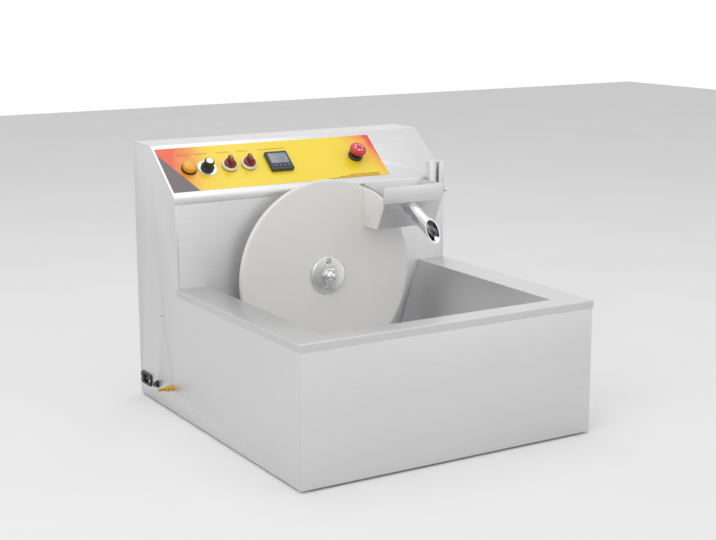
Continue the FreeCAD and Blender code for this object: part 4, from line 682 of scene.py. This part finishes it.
@dataclass
class Wheel:
    """Tempering wheel with its hub, nut and screws.

    Attributes:
        radius: Radius of the disc, in millimetres.
        thick: Thickness of the disc.
        bore: Bore of the disc.
        flats: Shaft nut across its flats.
        nut_height: Height of its hexagon.
        dome: Diameter of its dome.
        screw_head: Diameter of the hub screws' heads.
        screw_rise: Height of those heads.
    """

    radius: float = 185.0
    thick: float = 12.0
    bore: float = 10.0
    flats: float = 27.0
    nut_height: float = 5.0
    dome: float = 24.0
    screw_head: float = 9.0
    screw_rise: float = 3.4

    def build(self) -> None:
        """Build the disc, its hub and the fasteners on it."""
        spin = joint("wheel_spin")
        self.place = seat(spin["pos_m"], (1, 0, 0), (0, 0, 1))
        turned = TurnedFinish("turned_polyethylene", "F2F1EE", 0.0, 0.4, 0.9, Grain.EVEN, 0.01, 0.004, 0.0, 120.0,
                              tuple(spin["pos_m"]))
        edge = 1.5
        disc = spun([(self.bore, -self.thick), (self.radius - edge, -self.thick),
                     (self.radius - edge*0.3, -self.thick + edge*0.3), (self.radius, -self.thick + edge),
                     (self.radius, -edge), (self.radius - edge*0.3, -edge*0.3),
                     (self.radius - edge, 0), (self.radius - edge*4, 0), (self.bore, 0)], 160)
        deliver("wheel_disc_turned", disc, [turned], "wheel", self.place, ["wheel_disc"])
        soften("hub_flange", HUB_STEEL, 0.5)
        soften("back_flange", HUB_STEEL, 0.6)
        self.nut()
        self.screws()
        dress(["wheel_shaft"], POLISHED_STEEL)
        dress(["shaft_coupling", "gearbox_output_shaft"], ZINC_STEEL)

    def nut(self) -> None:
        """Domed nut with chamfered corners."""
        foot = (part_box("shaft_nut")[1].y - Vector(joint("wheel_spin")["pos_m"]).y)/-MM
        hexagon = prism(polygon(6, self.flats/math.sqrt(3)), foot, foot + self.nut_height)
        bevelled(hexagon, 0.7, 2)
        reach = self.dome/2
        arc = [(reach*math.cos(math.radians(turn)), foot + self.nut_height + reach*math.sin(math.radians(turn)))
               for turn in range(0, 91, 9)]
        arc[-1] = (0.0, arc[-1][1])
        dome = spun([(0.0, foot + 1.0), (reach, foot + 1.0)] + arc, 48)
        deliver("shaft_nut_domed", joined([hexagon, dome]), [POLISHED_STEEL], "wheel", self.place, ["shaft_nut"])

    def socket_head(self) -> bmesh.types.BMesh:
        """Cap screw head with a round recess, from its seat upwards, and a shank below."""
        radius, rise, key, depth = self.screw_head/2, self.screw_rise, 2.6, 2.0
        return spun([(0, -8), (2.4, -8), (2.4, 0), (radius, 0), (radius, rise - 0.4), (radius - 0.4, rise),
                     (key, rise), (key, rise - depth), (0, rise - depth)], 36)

    def screws(self) -> None:
        """Two cap screws, above and below the nut."""
        low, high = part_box("hub_screws")
        centre = (low + high)/2
        spin = Vector(joint("wheel_spin")["pos_m"])
        reach = (high.z - low.z)/2 - self.screw_head*MM/2
        seats = [Vector((spin.x, low.y + self.screw_rise*MM, centre.z + side*reach)) for side in (-1, 1)]
        heads = repeated(self.socket_head, [seat(place, (1, 0, 0), (0, 0, 1)) for place in seats])
        deliver("hub_cap_screws", heads, [POLISHED_STEEL], "wheel", stands_for=["hub_screws"])


@dataclass
class Scraper:
    """Trough with its blade and spout, and what carries it.

    Attributes:
        pipe: Outside diameter of the spout pipe, in millimetres.
        bore: Inside diameter of the pipe.
        sleeve: Outside diameter of the sleeve.
        sleeve_start: Trough to the sleeve.
        pipe_length: Length of the pipe.
        length: Trough to the middle of the mouth.
        mouth: Angle between the mouth and the axis, in degrees.
        root_drop: Band to the axis, along the leaning wall.
        band: Height of the trough's upright band.
        wall_run: How far the leaning wall goes back.
        wall_drop: How far it goes down.
    """

    pipe: float = 26.0
    bore: float = 23.0
    sleeve: float = 29.0
    sleeve_start: float = 22.5
    pipe_length: float = 42.0
    length: float = 83.0
    mouth: float = 35.5
    root_drop: float = 13.0
    band: float = 31.5
    wall_run: float = 24.0
    wall_drop: float = 52.0

    def build(self) -> None:
        """Build every piece of the scraper unit and of its bracket."""
        soften("trough", SHEET_STEEL, 0.5)
        soften("scraper_blade", FOOD_PLASTIC, 0.6)
        soften("bracket_channel", SHEET_STEEL, 0.5)
        soften("trough_hanger", SHEET_STEEL, 0.4)
        soften("trough_rivets", ZINC_STEEL, 0.3)
        soften("channel_screws", ZINC_STEEL, 0.15)
        self.spout()
        self.clamp()

    def spout_seat(self) -> Matrix:
        """Frame on the leaning wall: z out along the spout, y up the wall."""
        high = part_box("trough")[1]
        lean = math.atan2(self.wall_run, self.wall_drop)
        across = (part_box("scraper_blade")[0].x + high.x)/2
        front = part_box("scraper_blade")[0].y
        root = Vector((across, front + self.root_drop*MM*math.sin(lean),
                       high.z - (self.band + self.root_drop*math.cos(lean))*MM))
        return seat(root, (1, 0, 0), (0, -math.sin(lean), math.cos(lean)))

    def spout(self) -> None:
        """Pipe with a weld bead at its root, and the sleeve with its slanted mouth."""
        place = self.spout_seat()
        outer, inner = self.pipe/2, self.bore/2
        pipe = spun([(inner, 0), (outer, 0), (outer, self.pipe_length), (inner, self.pipe_length)], 72)
        deliver("spout_pipe_polished", pipe, [POLISHED_STEEL], "scraper_unit", place, ["spout_pipe"])
        bead = spun([(outer + 1.3*math.cos(math.radians(turn)), 0.9 + 1.3*math.sin(math.radians(turn)))
                     for turn in range(0, 360, 30)], 72)
        for vert in bead.verts:
            swell = 1 + 0.12*math.sin(18*math.atan2(vert.co.y, vert.co.x))
            vert.co.z *= swell
        deliver("spout_weld", bead, [WELD_STEEL], "scraper_unit", place)
        shell, lip = self.sleeve/2, self.length + self.sleeve/2/math.tan(math.radians(self.mouth))
        start = self.sleeve_start
        sleeve = spun([(outer, start), (shell - 0.8, start), (shell, start + 0.8), (shell, start + 3.2),
                       (shell - 0.45, start + 3.6), (shell - 0.45, start + 4.6), (shell, start + 5.0),
                       (shell, lip + 4), (outer, lip + 4)], 72)
        slope = math.radians(self.mouth)
        bmesh.ops.bisect_plane(sleeve, geom=sleeve.verts[:] + sleeve.edges[:] + sleeve.faces[:], dist=1e-5,
                               plane_co=(0, 0, self.length), plane_no=(0, math.cos(slope), math.sin(slope)),
                               clear_outer=True)
        rims = [edge for edge in sleeve.edges if edge.is_boundary]
        bmesh.ops.bridge_loops(sleeve, edges=rims)
        bmesh.ops.recalc_face_normals(sleeve, faces=sleeve.faces)
        deliver("spout_sleeve_polished", sleeve, [POLISHED_STEEL], "scraper_unit", place, ["spout_sleeve"])

    def clamp(self) -> None:
        """Knurled thumb screw."""
        low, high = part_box("clamp_screw")
        pivot = Vector(joint("clamp_turn")["pos_m"])
        place = seat(pivot, (0, 1, 0), (0, 0, 1))
        tip, top, radius = (low.x - pivot.x)/MM, (high.x - pivot.x)/MM, (high.z - low.z)/2/MM
        shank = spun([(0, tip), (1.5, tip), (2.5, tip + 1), (2.5, 1.5), (radius*0.7, 1.5), (radius*0.7, top),
                      (0, top)], 32)
        knurl = prism(star(28, radius - 0.35, radius), 2.0, top - 0.7)
        bevelled(knurl, 0.3, 1, 60)
        deliver("clamp_thumb_screw", joined([shank, knurl]), [POLISHED_STEEL], "clamp", place, ["clamp_screw"])


def star(points: int, inner: float, outer: float) -> list[Point]:
    """Outline that goes in and out between two radii, for knurls and flutes."""
    return [((outer if step % 2 else inner)*math.cos(math.pi*step/points),
             (outer if step % 2 else inner)*math.sin(math.pi*step/points)) for step in range(2*points)]


@dataclass
class Console:
    """Sloped console: control film, lamp, dial, selectors, controller and emergency stop.

    Attributes:
        film: Thickness of the control film, in millimetres.
        gasket: Height of the black ring under each bezel.
        bezel: Diameter of the bezels.
        bezel_rise: Height of the selectors' bezels.
        barrel: Diameter of the threaded barrels.
    """

    film: float = 0.4
    gasket: float = 2.0
    bezel: float = 30.0
    bezel_rise: float = 5.0
    barrel: float = 22.0

    def __post_init__(self) -> None:
        """Read the slope of the console from the speed knob's axis."""
        turn = joint("speed_turn")
        inward = Vector(turn["axis"])
        self.normal = -inward
        self.tilt = math.atan2(inward.y, -inward.z)
        self.row = Vector(turn["pos_m"])
        self.up = Vector((0, math.cos(self.tilt), math.sin(self.tilt)))

    def seat_at(self, across: float, up: float = 0.0) -> Matrix:
        """Frame on the console: x across, y up the slope, z outwards.

        Args:
            across: Place along the machine, in metres.
            up: Distance up the slope from the middle line of the controls, in millimetres.

        Returns:
            The matrix of the frame.
        """
        origin = Vector((across, self.row.y, self.row.z)) + self.up*up*MM
        return seat(origin, (1, 0, 0), self.up)

    def build(self) -> None:
        """Build every piece of the console."""
        self.printed_film()
        self.lamp()
        self.dial()
        for number in (1, 2):
            self.selector(number)
        self.controller()
        self.stop()
        self.legends()

    def printed_film(self) -> None:
        """The film keeps its CAD shape and gets its print."""
        low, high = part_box("control_film")
        print_finish = PrintedFilm("printed_polyester_film", "FFE233", 0.0, 0.32, 1.2, Grain.EVEN, 0.0, 0.002,
                                   0.35, 90.0, self.tilt, (low.x, low.y, low.z), high.x - low.x)
        dress(["control_film"], print_finish)

    def barrel_piece(self, node: str, name: str, diameter: float, rise: float, bore: float, finish: Finish) -> None:
        """Gasket, bezel and threaded barrel of a panel device, with its contact block behind the console.

        Args:
            node: CAD node that the piece stands for.
            name: Name of the piece.
            diameter: Diameter of the bezel, in millimetres.
            rise: Height of the bezel.
            bore: Diameter of its bore.
            finish: Finish of the bezel.
        """
        place = self.seat_at(middle(node).x)
        foot = self.film + self.gasket
        black = spun([(bore/2, -20), (self.barrel/2, -20), (self.barrel/2, self.film), (diameter/2 - 0.6, self.film),
                      (diameter/2 - 0.6, foot), (bore/2, foot)], 64)
        threads = [spun([(self.barrel/2 - 0.1, -level), (self.barrel/2 + 0.35, -level - 0.4),
                         (self.barrel/2 - 0.1, -level - 0.8)], 48) for level in range(3, 19, 2)]
        contact = bevelled(block(28, 24, 26, (0, 0, -33)), 1.2, 2)
        ring = spun([(bore/2, foot), (diameter/2, foot), (diameter/2, foot + rise - 1.6),
                     (diameter/2 - 0.5, foot + rise - 0.5), (diameter/2 - 1.6, foot + rise),
                     (bore/2, foot + rise)], 72)
        whole = joined([black, contact] + threads)
        count = len(whole.faces)
        holder = bpy.data.meshes.new("ring")
        ring.to_mesh(holder)
        ring.free()
        whole.from_mesh(holder)
        bpy.data.meshes.remove(holder)
        whole.faces.ensure_lookup_table()
        for face in whole.faces[count:]:
            face.material_index = 1
        deliver(name, whole, [BLACK_PLASTIC, finish], "body", place, [node])

    def lamp(self) -> None:
        """Amber pilot lamp with a ribbed dome."""
        self.barrel_piece("pilot_lamp", "pilot_lamp_bezel", self.bezel, 2.0, 12.0, BLACK_PLASTIC)
        foot = self.film + self.gasket + 2.0
        radius, height = 13.0, 11.0
        top, rib = foot + height, height - 5.0
        dome = spun([(0, foot), (radius, foot), (radius, top - 4.5), (radius - 0.5, top - 3.0),
                     (radius - 1.6, top - 1.9), (radius - 3.4, top - 1.25), (radius - 6.5, top - 0.5),
                     (radius - 10, top - 0.1), (0, top)], 72)
        ribs = repeated(lambda: bevelled(block(0.7, 0.5, rib, (radius, 0, foot + rib/2)), 0.15, 1),
                        [Matrix.Rotation(math.radians(turn), 4, "Z") for turn in range(0, 360, 12)])
        place = self.seat_at(middle("pilot_lens").x)
        deliver("pilot_lamp_dome", joined([dome, ribs]), [AMBER_LENS], "body", place, ["pilot_lens"])

    def dial(self) -> None:
        """Speed dial: plate with a scale, fluted knob with a pointer and a silver cap."""
        dress(["potentiometer"], ZINC_STEEL)
        place = self.seat_at(middle("speed_knob").x)
        top = self.film + 1.2
        plate = spun([(5, self.film), (19, self.film), (19, top - 0.4), (18.6, top), (5, top)], 72)
        deliver("dial_plate_spun", plate, [SPUN_ALUMINIUM], "body", place, ["dial_plate"])
        ticks = []
        for step in range(21):
            turn = math.radians(240 - step*15)
            length = 2.6 if step % 2 == 0 else 1.5
            bar = block(length, 0.45, 0.12, (16.2, 0, top + 0.05))
            ticks.append(moved(bar, Matrix.Rotation(turn, 4, "Z")))
        deliver("dial_ticks", joined(ticks), [BLACK_MARK], "body", place)
        foot = top + 1.5
        crown = foot + 17.0
        skirt = spun([(0, foot), (13, foot), (13, foot + 2), (12.4, foot + 2.8), (10.5, foot + 4.6),
                      (9.9, foot + 6), (9.3, crown - 0.8), (8.6, crown), (0, crown)], 72)
        flutes = prism(star(20, 9.2, 9.9), foot + 5, crown - 0.5)
        bevelled(flutes, 0.25, 1, 20)
        deliver("speed_knob_moulded", joined([skirt, flutes]), [BLACK_PLASTIC], "speed_knob", place, ["speed_knob"])
        pointer = block(1.0, 3.6, 0.25, (0, 10.9, foot + 3.9))
        deliver("speed_pointer", pointer, [WHITE_MARK], "speed_knob", place)
        cap = spun([(0, crown), (7, crown), (7, crown + 0.9), (6.4, crown + 1.4), (5.6, crown + 1.5),
                    (0, crown + 1.5)], 56)
        deliver("speed_knob_cap", cap, [SPUN_ALUMINIUM], "speed_knob", place, ["knob_cap"])

    def selector(self, number: int) -> None:
        """Selector switch with a raised grip.

        Args:
            number: 1 or 2, from the left.
        """
        node = f"selector_{number}_knob"
        self.barrel_piece(f"selector_{number}_body", f"selector_{number}_bezel", self.bezel, self.bezel_rise,
                          14.1, CREAM_BEZEL)
        place = self.seat_at(middle(node).x)
        foot = self.film + self.gasket + self.bezel_rise + 0.4
        disc = spun([(0, foot - 8), (7, foot - 8), (7, foot), (12, foot), (12, foot + 2.8),
                     (11.6, foot + 3.6), (10.8, foot + 4), (0, foot + 4)], 64)
        side = [(-11.2, foot + 1), (11.2, foot + 1), (10.2, foot + 14.6), (-8.4, foot + 14.6)]
        grip = prism(side, -3.6, 3.6)
        moved(grip, Matrix(((0, 0, 1, 0), (1, 0, 0, 0), (0, 1, 0, 0), (0, 0, 0, 1))))
        bmesh.ops.recalc_face_normals(grip, faces=grip.faces)
        bevelled(grip, 1.1, 3)
        deliver(f"selector_{number}_grip", joined([disc, grip]), [MAROON_KNOB], f"selector_{number}", place, [node])
        line = block(0.9, 7.0, 0.2, (0, 5.4, foot + 14.65))
        deliver(f"selector_{number}_pointer", line, [WHITE_MARK], f"selector_{number}", place)

    def controller(self) -> None:
        """Temperature controller: frame, window with idle digits, and four keys."""
        soften("controller_case", GREY_PLASTIC, 0.4)
        soften("controller_window", LCD_GLASS, 0.2)
        place = self.seat_at(middle("controller_case").x)
        face = self.film + 8.0
        digits = []
        for row, (size, level) in enumerate(((7.5, 10.5), (5.0, 0.6))):
            for column in range(4):
                digits.append(self.digit(size, -13.0 + column*size*1.15 + row*3.0, level, face - 0.28))
        deliver("controller_digits", joined(digits), [LCD_SEGMENT], "body", place)
        for number in range(1, 5):
            node = f"controller_key_{number}"
            soften(node, GREY_PLASTIC, 0.25)
            shift = (middle(node).x - middle("controller_case").x)/MM
            mark = self.key_mark(number, shift, -15.5, face + 0.9)
            deliver(f"controller_key_{number}_mark", mark, [WHITE_MARK], body_of(node), place)

    @staticmethod
    def digit(size: float, left: float, low: float, level: float) -> bmesh.types.BMesh:
        """One idle seven-segment figure.

        Args:
            size: Height of the figure, in millimetres.
            left: Its left edge.
            low: Its lower edge.
            level: Height above the console.

        Returns:
            Seven thin bars.
        """
        width, bar = size*0.55, size*0.12
        bars = [block(width - bar, bar, 0.06, (left + width/2, low + size*share, level)) for share in (0, 0.5, 1)]
        bars += [block(bar, size*0.5 - bar, 0.06, (left + width*across, low + size*share, level))
                 for across in (0, 1) for share in (0.25, 0.75)]
        return joined(bars)

    @staticmethod
    def key_mark(number: int, across: float, up: float, level: float) -> bmesh.types.BMesh:
        """Plain mark on a key: a ring, a left arrow, a down arrow or an up arrow."""
        outlines = {
            1: polygon(16, 0.9),
            2: polygon(3, 1.2, math.pi),
            3: polygon(3, 1.2, -math.pi/2),
            4: polygon(3, 1.2, math.pi/2),
        }
        return prism([(x + across, y + up) for x, y in outlines[number]], level - 0.02, level + 0.06)

    def stop(self) -> None:
        """Emergency stop: collar, stem and mushroom head with three arrows."""
        self.barrel_piece("stop_collar", "stop_collar_moulded", self.bezel, 6.0, 14.1, GREY_PLASTIC)
        dress(["stop_stem"], BLACK_PLASTIC)
        place = self.seat_at(middle("stop_head").x)
        foot = self.film + self.gasket + 6.0 + 1.5 + 5.0
        head = spun([(4.05, foot), (13, foot), (14.6, foot + 0.5), (16.2, foot + 1.9), (17, foot + 3.8),
                     (17, foot + 6.0), (16.5, foot + 7.8), (15.2, foot + 9.2), (13, foot + 10.2), (9, foot + 11.2),
                     (4.5, foot + 11.8), (0, foot + 12), (0, foot + 5.3), (4.05, foot + 5.3)], 80)
        deliver("stop_mushroom", head, [RED_MUSHROOM], "stop_head", place, ["stop_head"])
        arrows = []
        for start in (0, 120, 240):
            sweep = [start + part for part in range(0, 76, 5)]
            outer = [(9.2*math.cos(math.radians(turn)), 9.2*math.sin(math.radians(turn))) for turn in sweep]
            inner = [(7.0*math.cos(math.radians(turn)), 7.0*math.sin(math.radians(turn))) for turn in reversed(sweep)]
            band = prism(outer + inner, foot + 11.0, foot + 11.62)
            tip = math.radians(start - 20)
            back = math.radians(start)
            head_mark = prism([(8.1*math.cos(tip), 8.1*math.sin(tip)), (10.6*math.cos(back), 10.6*math.sin(back)),
                               (5.6*math.cos(back), 5.6*math.sin(back))], foot + 11.0, foot + 11.62)
            arrows += [band, head_mark]
        marks = joined(arrows)
        for vert in marks.verts:
            reach = math.hypot(vert.co.x, vert.co.y)
            if vert.co.z > foot + 11.3:
                vert.co.z = foot + 12.06 - 0.0105*reach*reach
        deliver("stop_arrows", marks, [WHITE_MARK], "stop_head", place)

    def legends(self) -> None:
        """Rows of plain ticks above the controls, and three rules at the lower right of the film."""
        level = self.film + 0.03
        bars = []
        counts = {"pilot_lens": 9, "speed_knob": 11, "selector_1_knob": 11, "selector_2_knob": 9,
                  "controller_case": 23}
        for node, count in counts.items():
            for step in range(count):
                height = 3.4 if step % 4 == 0 else 2.0
                shift = (middle(node).x - self.row.x)/MM + (step - (count - 1)/2)*2.6
                bars.append(block(1.1, height, 0.06, (shift, 36.0 + height/2, level)))
        right = (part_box("control_film")[1].x - self.row.x)/MM
        for row in range(3):
            centre = (right - 80.0 + row*13.0, -50.5 + (row - 1)*3.2, level)
            bars.append(block(118.0 - row*26.0, 1.3, 0.06, centre))
        deliver("film_legends", joined(bars), [BROWN_MARK], "body", self.seat_at(self.row.x))


@dataclass
class SideFittings:
    """Mains inlet, fuse holder and earth stud on the left side.

    Attributes:
        thread_pitch: Pitch of the stud's thread, in millimetres.
        stud: Diameter of the stud.
        flats: Nuts across their flats.
    """

    thread_pitch: float = 1.0
    stud: float = 6.0
    flats: float = 10.0

    def build(self) -> None:
        """Build every fitting."""
        soften("mains_inlet", BLACK_PLASTIC, 0.4)
        self.pins()
        soften("inlet_screws", ZINC_STEEL, 0.2)
        soften("fuse_holder", BLACK_PLASTIC, 0.3)
        soften("fuse_cap", GREY_PLASTIC, 0.3)
        self.earth()

    def pins(self) -> None:
        """Three plated blades that cover the CAD ones."""
        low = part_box("mains_inlet")[0]
        face = middle("mains_inlet")
        place = seat(Vector((low.x, face.y, face.z)), (0, 0, 1), (0, 1, 0))
        blades = [bevelled(block(4.1, 2.1, 14.05, (x, y, -3.9 - 7.0)), 0.4, 2)
                  for x, y in ((1.5, 0), (-2.5, -7), (-2.5, 7))]
        deliver("inlet_blades", joined(blades), [POLISHED_STEEL], "body", place)

    def earth(self) -> None:
        """Threaded brass stud with two flanged nuts."""
        low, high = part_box("earth_stud")
        centre = middle("earth_stud")
        place = seat(Vector((low.x, centre.y, centre.z)), (0, 0, 1), (0, 1, 0))
        length = (high.x - low.x)/MM
        radius, core = self.stud/2, self.stud/2 - 0.45
        turns = int(length/self.thread_pitch)
        profile = [(0.0, -length), (radius, -length)]
        for turn in range(turns):
            foot = -length + turn*self.thread_pitch
            profile += [(radius, foot + 0.2), (core, foot + 0.5), (radius, foot + 0.8)]
        profile += [(radius - 0.6, 0.0), (0.0, 0.0)]
        stud = spun(profile, 32)
        deliver("earth_stud_threaded", stud, [BRASS], "body", place, ["earth_stud"])
        nuts_low, nuts_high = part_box("earth_nuts")
        wall = (nuts_high.x - low.x)/MM
        parts = []
        for start in (0.0, 8.2):
            foot = -wall + start
            parts.append(spun([(2.9, foot), (6.5, foot), (6.5, foot + 1.1), (5.6, foot + 1.6), (2.9, foot + 1.6)], 40))
            parts.append(bevelled(prism(polygon(6, self.flats/math.sqrt(3)), foot + 1.6, foot + 6.6), 0.5, 2))
        deliver("earth_flange_nuts", joined(parts), [BRASS], "body", place, ["earth_nuts"])


@dataclass
class Drive:
    """Inner pieces, which keep their CAD shapes."""

    def build(self) -> None:
        """Dress the bearing, the gearmotor and the electrics."""
        dress(["shaft_bearing", "gearbox"], CAST_ALUMINIUM)
        dress(["gearmotor"], MOTOR_PAINT)
        dress(["motor_rail"], ZINC_STEEL)
        dress(["motor_speed_drive"], SPUN_ALUMINIUM)
        dress(["solid_state_relay"], RELAY_PLASTIC)


# ---------------------------------------------------------------- studio

@dataclass
class Studio:
    """Pale floor, soft light and the camera.

    Attributes:
        azimuth: Camera's turn from straight in front, in degrees.
        elevation: Its height above the horizon.
        roll: Its roll.
        distance: From the machine to the camera, in metres.
        target: Point that it looks at.
        lens: Focal length for a sensor 36 mm wide.
    """

    azimuth: float = -30.99
    elevation: float = 11.85
    roll: float = -0.17
    distance: float = 2.67775
    target: tuple = (0.00773, 0.0, 0.27714)
    lens: float = 71.795

    def build(self) -> None:
        """Set up everything round the machine."""
        bpy.context.scene.view_settings.view_transform = "Standard"
        self.camera()
        self.floor()
        self.world()
        self.lamp("key_softbox", (-2.6, -1.6, 2.6), 2.2, 26.0)
        self.lamp("fill_softbox", (2.4, -2.6, 1.8), 2.4, 9.0)
        self.lamp("top_softbox", (0.0, 0.3, 3.2), 2.6, 18.0)

    def camera(self) -> None:
        """Camera that looks down the given bearing."""
        turn, lift = math.radians(self.azimuth), math.radians(self.elevation)
        back = Vector((math.sin(turn)*math.cos(lift), -math.cos(turn)*math.cos(lift), math.sin(lift)))
        data = bpy.data.cameras.new("camera")
        data.lens = self.lens
        data.sensor_width = 36.0
        data.clip_end = 50.0
        camera = bpy.data.objects.new("camera", data)
        bpy.context.scene.collection.objects.link(camera)
        camera.location = Vector(self.target) + back*self.distance
        aim = back.to_track_quat("Z", "Y").to_matrix().to_4x4()
        camera.rotation_mode = "QUATERNION"
        camera.rotation_quaternion = (aim @ Matrix.Rotation(math.radians(self.roll), 4, "Z")).to_quaternion()
        bpy.context.scene.camera = camera

    def floor(self) -> None:
        """Pale floor that the camera and the metal see as white, with the machine's shadow on it."""
        bm = bmesh.new()
        bmesh.ops.create_grid(bm, x_segments=1, y_segments=1, size=6.0)
        mesh = bpy.data.meshes.new("floor")
        bm.to_mesh(mesh)
        bm.free()
        material = bpy.data.materials.new("pale_floor")
        material.use_nodes = True
        tree = material.node_tree
        tree.nodes.clear()
        where = add_node(tree, "ShaderNodeTexCoord").outputs["Object"]
        grain = add_node(tree, "ShaderNodeTexNoise", {"Vector": where, "Scale": 3.0})
        colour = add_ramp(tree, grain.outputs["Fac"], [(0.3, (0.93, 0.93, 0.93, 1)), (0.7, (0.95, 0.95, 0.95, 1))])
        matte = add_node(tree, "ShaderNodeBsdfDiffuse", {"Color": colour})
        tree.links.new(matte.outputs[0], add_node(tree, "ShaderNodeOutputMaterial").inputs["Surface"])
        mesh.materials.append(material)
        floor = bpy.data.objects.new("floor", mesh)
        bpy.context.scene.collection.objects.link(floor)

    def world(self) -> None:
        """White surroundings, seen at full strength by the camera and in reflections and softer as light."""
        world = bpy.data.worlds.new("studio")
        bpy.context.scene.world = world
        world.use_nodes = True
        tree = world.node_tree
        tree.nodes.clear()
        path = add_node(tree, "ShaderNodeLightPath")
        seen = add_node(tree, "ShaderNodeMath", {0: path.outputs["Is Camera Ray"], 1: path.outputs["Is Glossy Ray"]},
                        operation="MAXIMUM")
        through = add_node(tree, "ShaderNodeMath", {0: seen.outputs[0], 1: path.outputs["Is Transmission Ray"]},
                           operation="MAXIMUM")
        light = add_node(tree, "ShaderNodeBackground", {"Color": (1, 1, 1, 1), "Strength": 0.62})
        white = add_node(tree, "ShaderNodeBackground", {"Color": (1, 1, 1, 1), "Strength": 1.0})
        mixed = add_node(tree, "ShaderNodeMixShader", {0: through.outputs[0], 1: light.outputs[0], 2: white.outputs[0]})
        tree.links.new(mixed.outputs[0], add_node(tree, "ShaderNodeOutputWorld").inputs["Surface"])

    def lamp(self, name: str, place: Sequence[float], size: float, power: float) -> None:
        """Square softbox aimed at the machine.

        Args:
            name: Name of the lamp.
            place: Where it hangs, in metres.
            size: Its side.
            power: Its power in watts.
        """
        data = bpy.data.lights.new(name, "AREA")
        data.size = size
        data.energy = power
        lamp = bpy.data.objects.new(name, data)
        bpy.context.scene.collection.objects.link(lamp)
        lamp.location = place
        lamp.rotation_euler = (Vector(place) - Vector((0, 0, 0.25))).to_track_quat("Z", "Y").to_euler()


def main() -> None:
    logging.basicConfig(level=logging.INFO, format="%(name)s: %(message)s")
    for assembly in (Enclosure(), Basin(), Wheel(), Scraper(), Console(), SideFittings(), Drive(), Studio()):
        log.info("building %s", type(assembly).__name__)
        assembly.build()


if __name__ == "__main__":
    main()
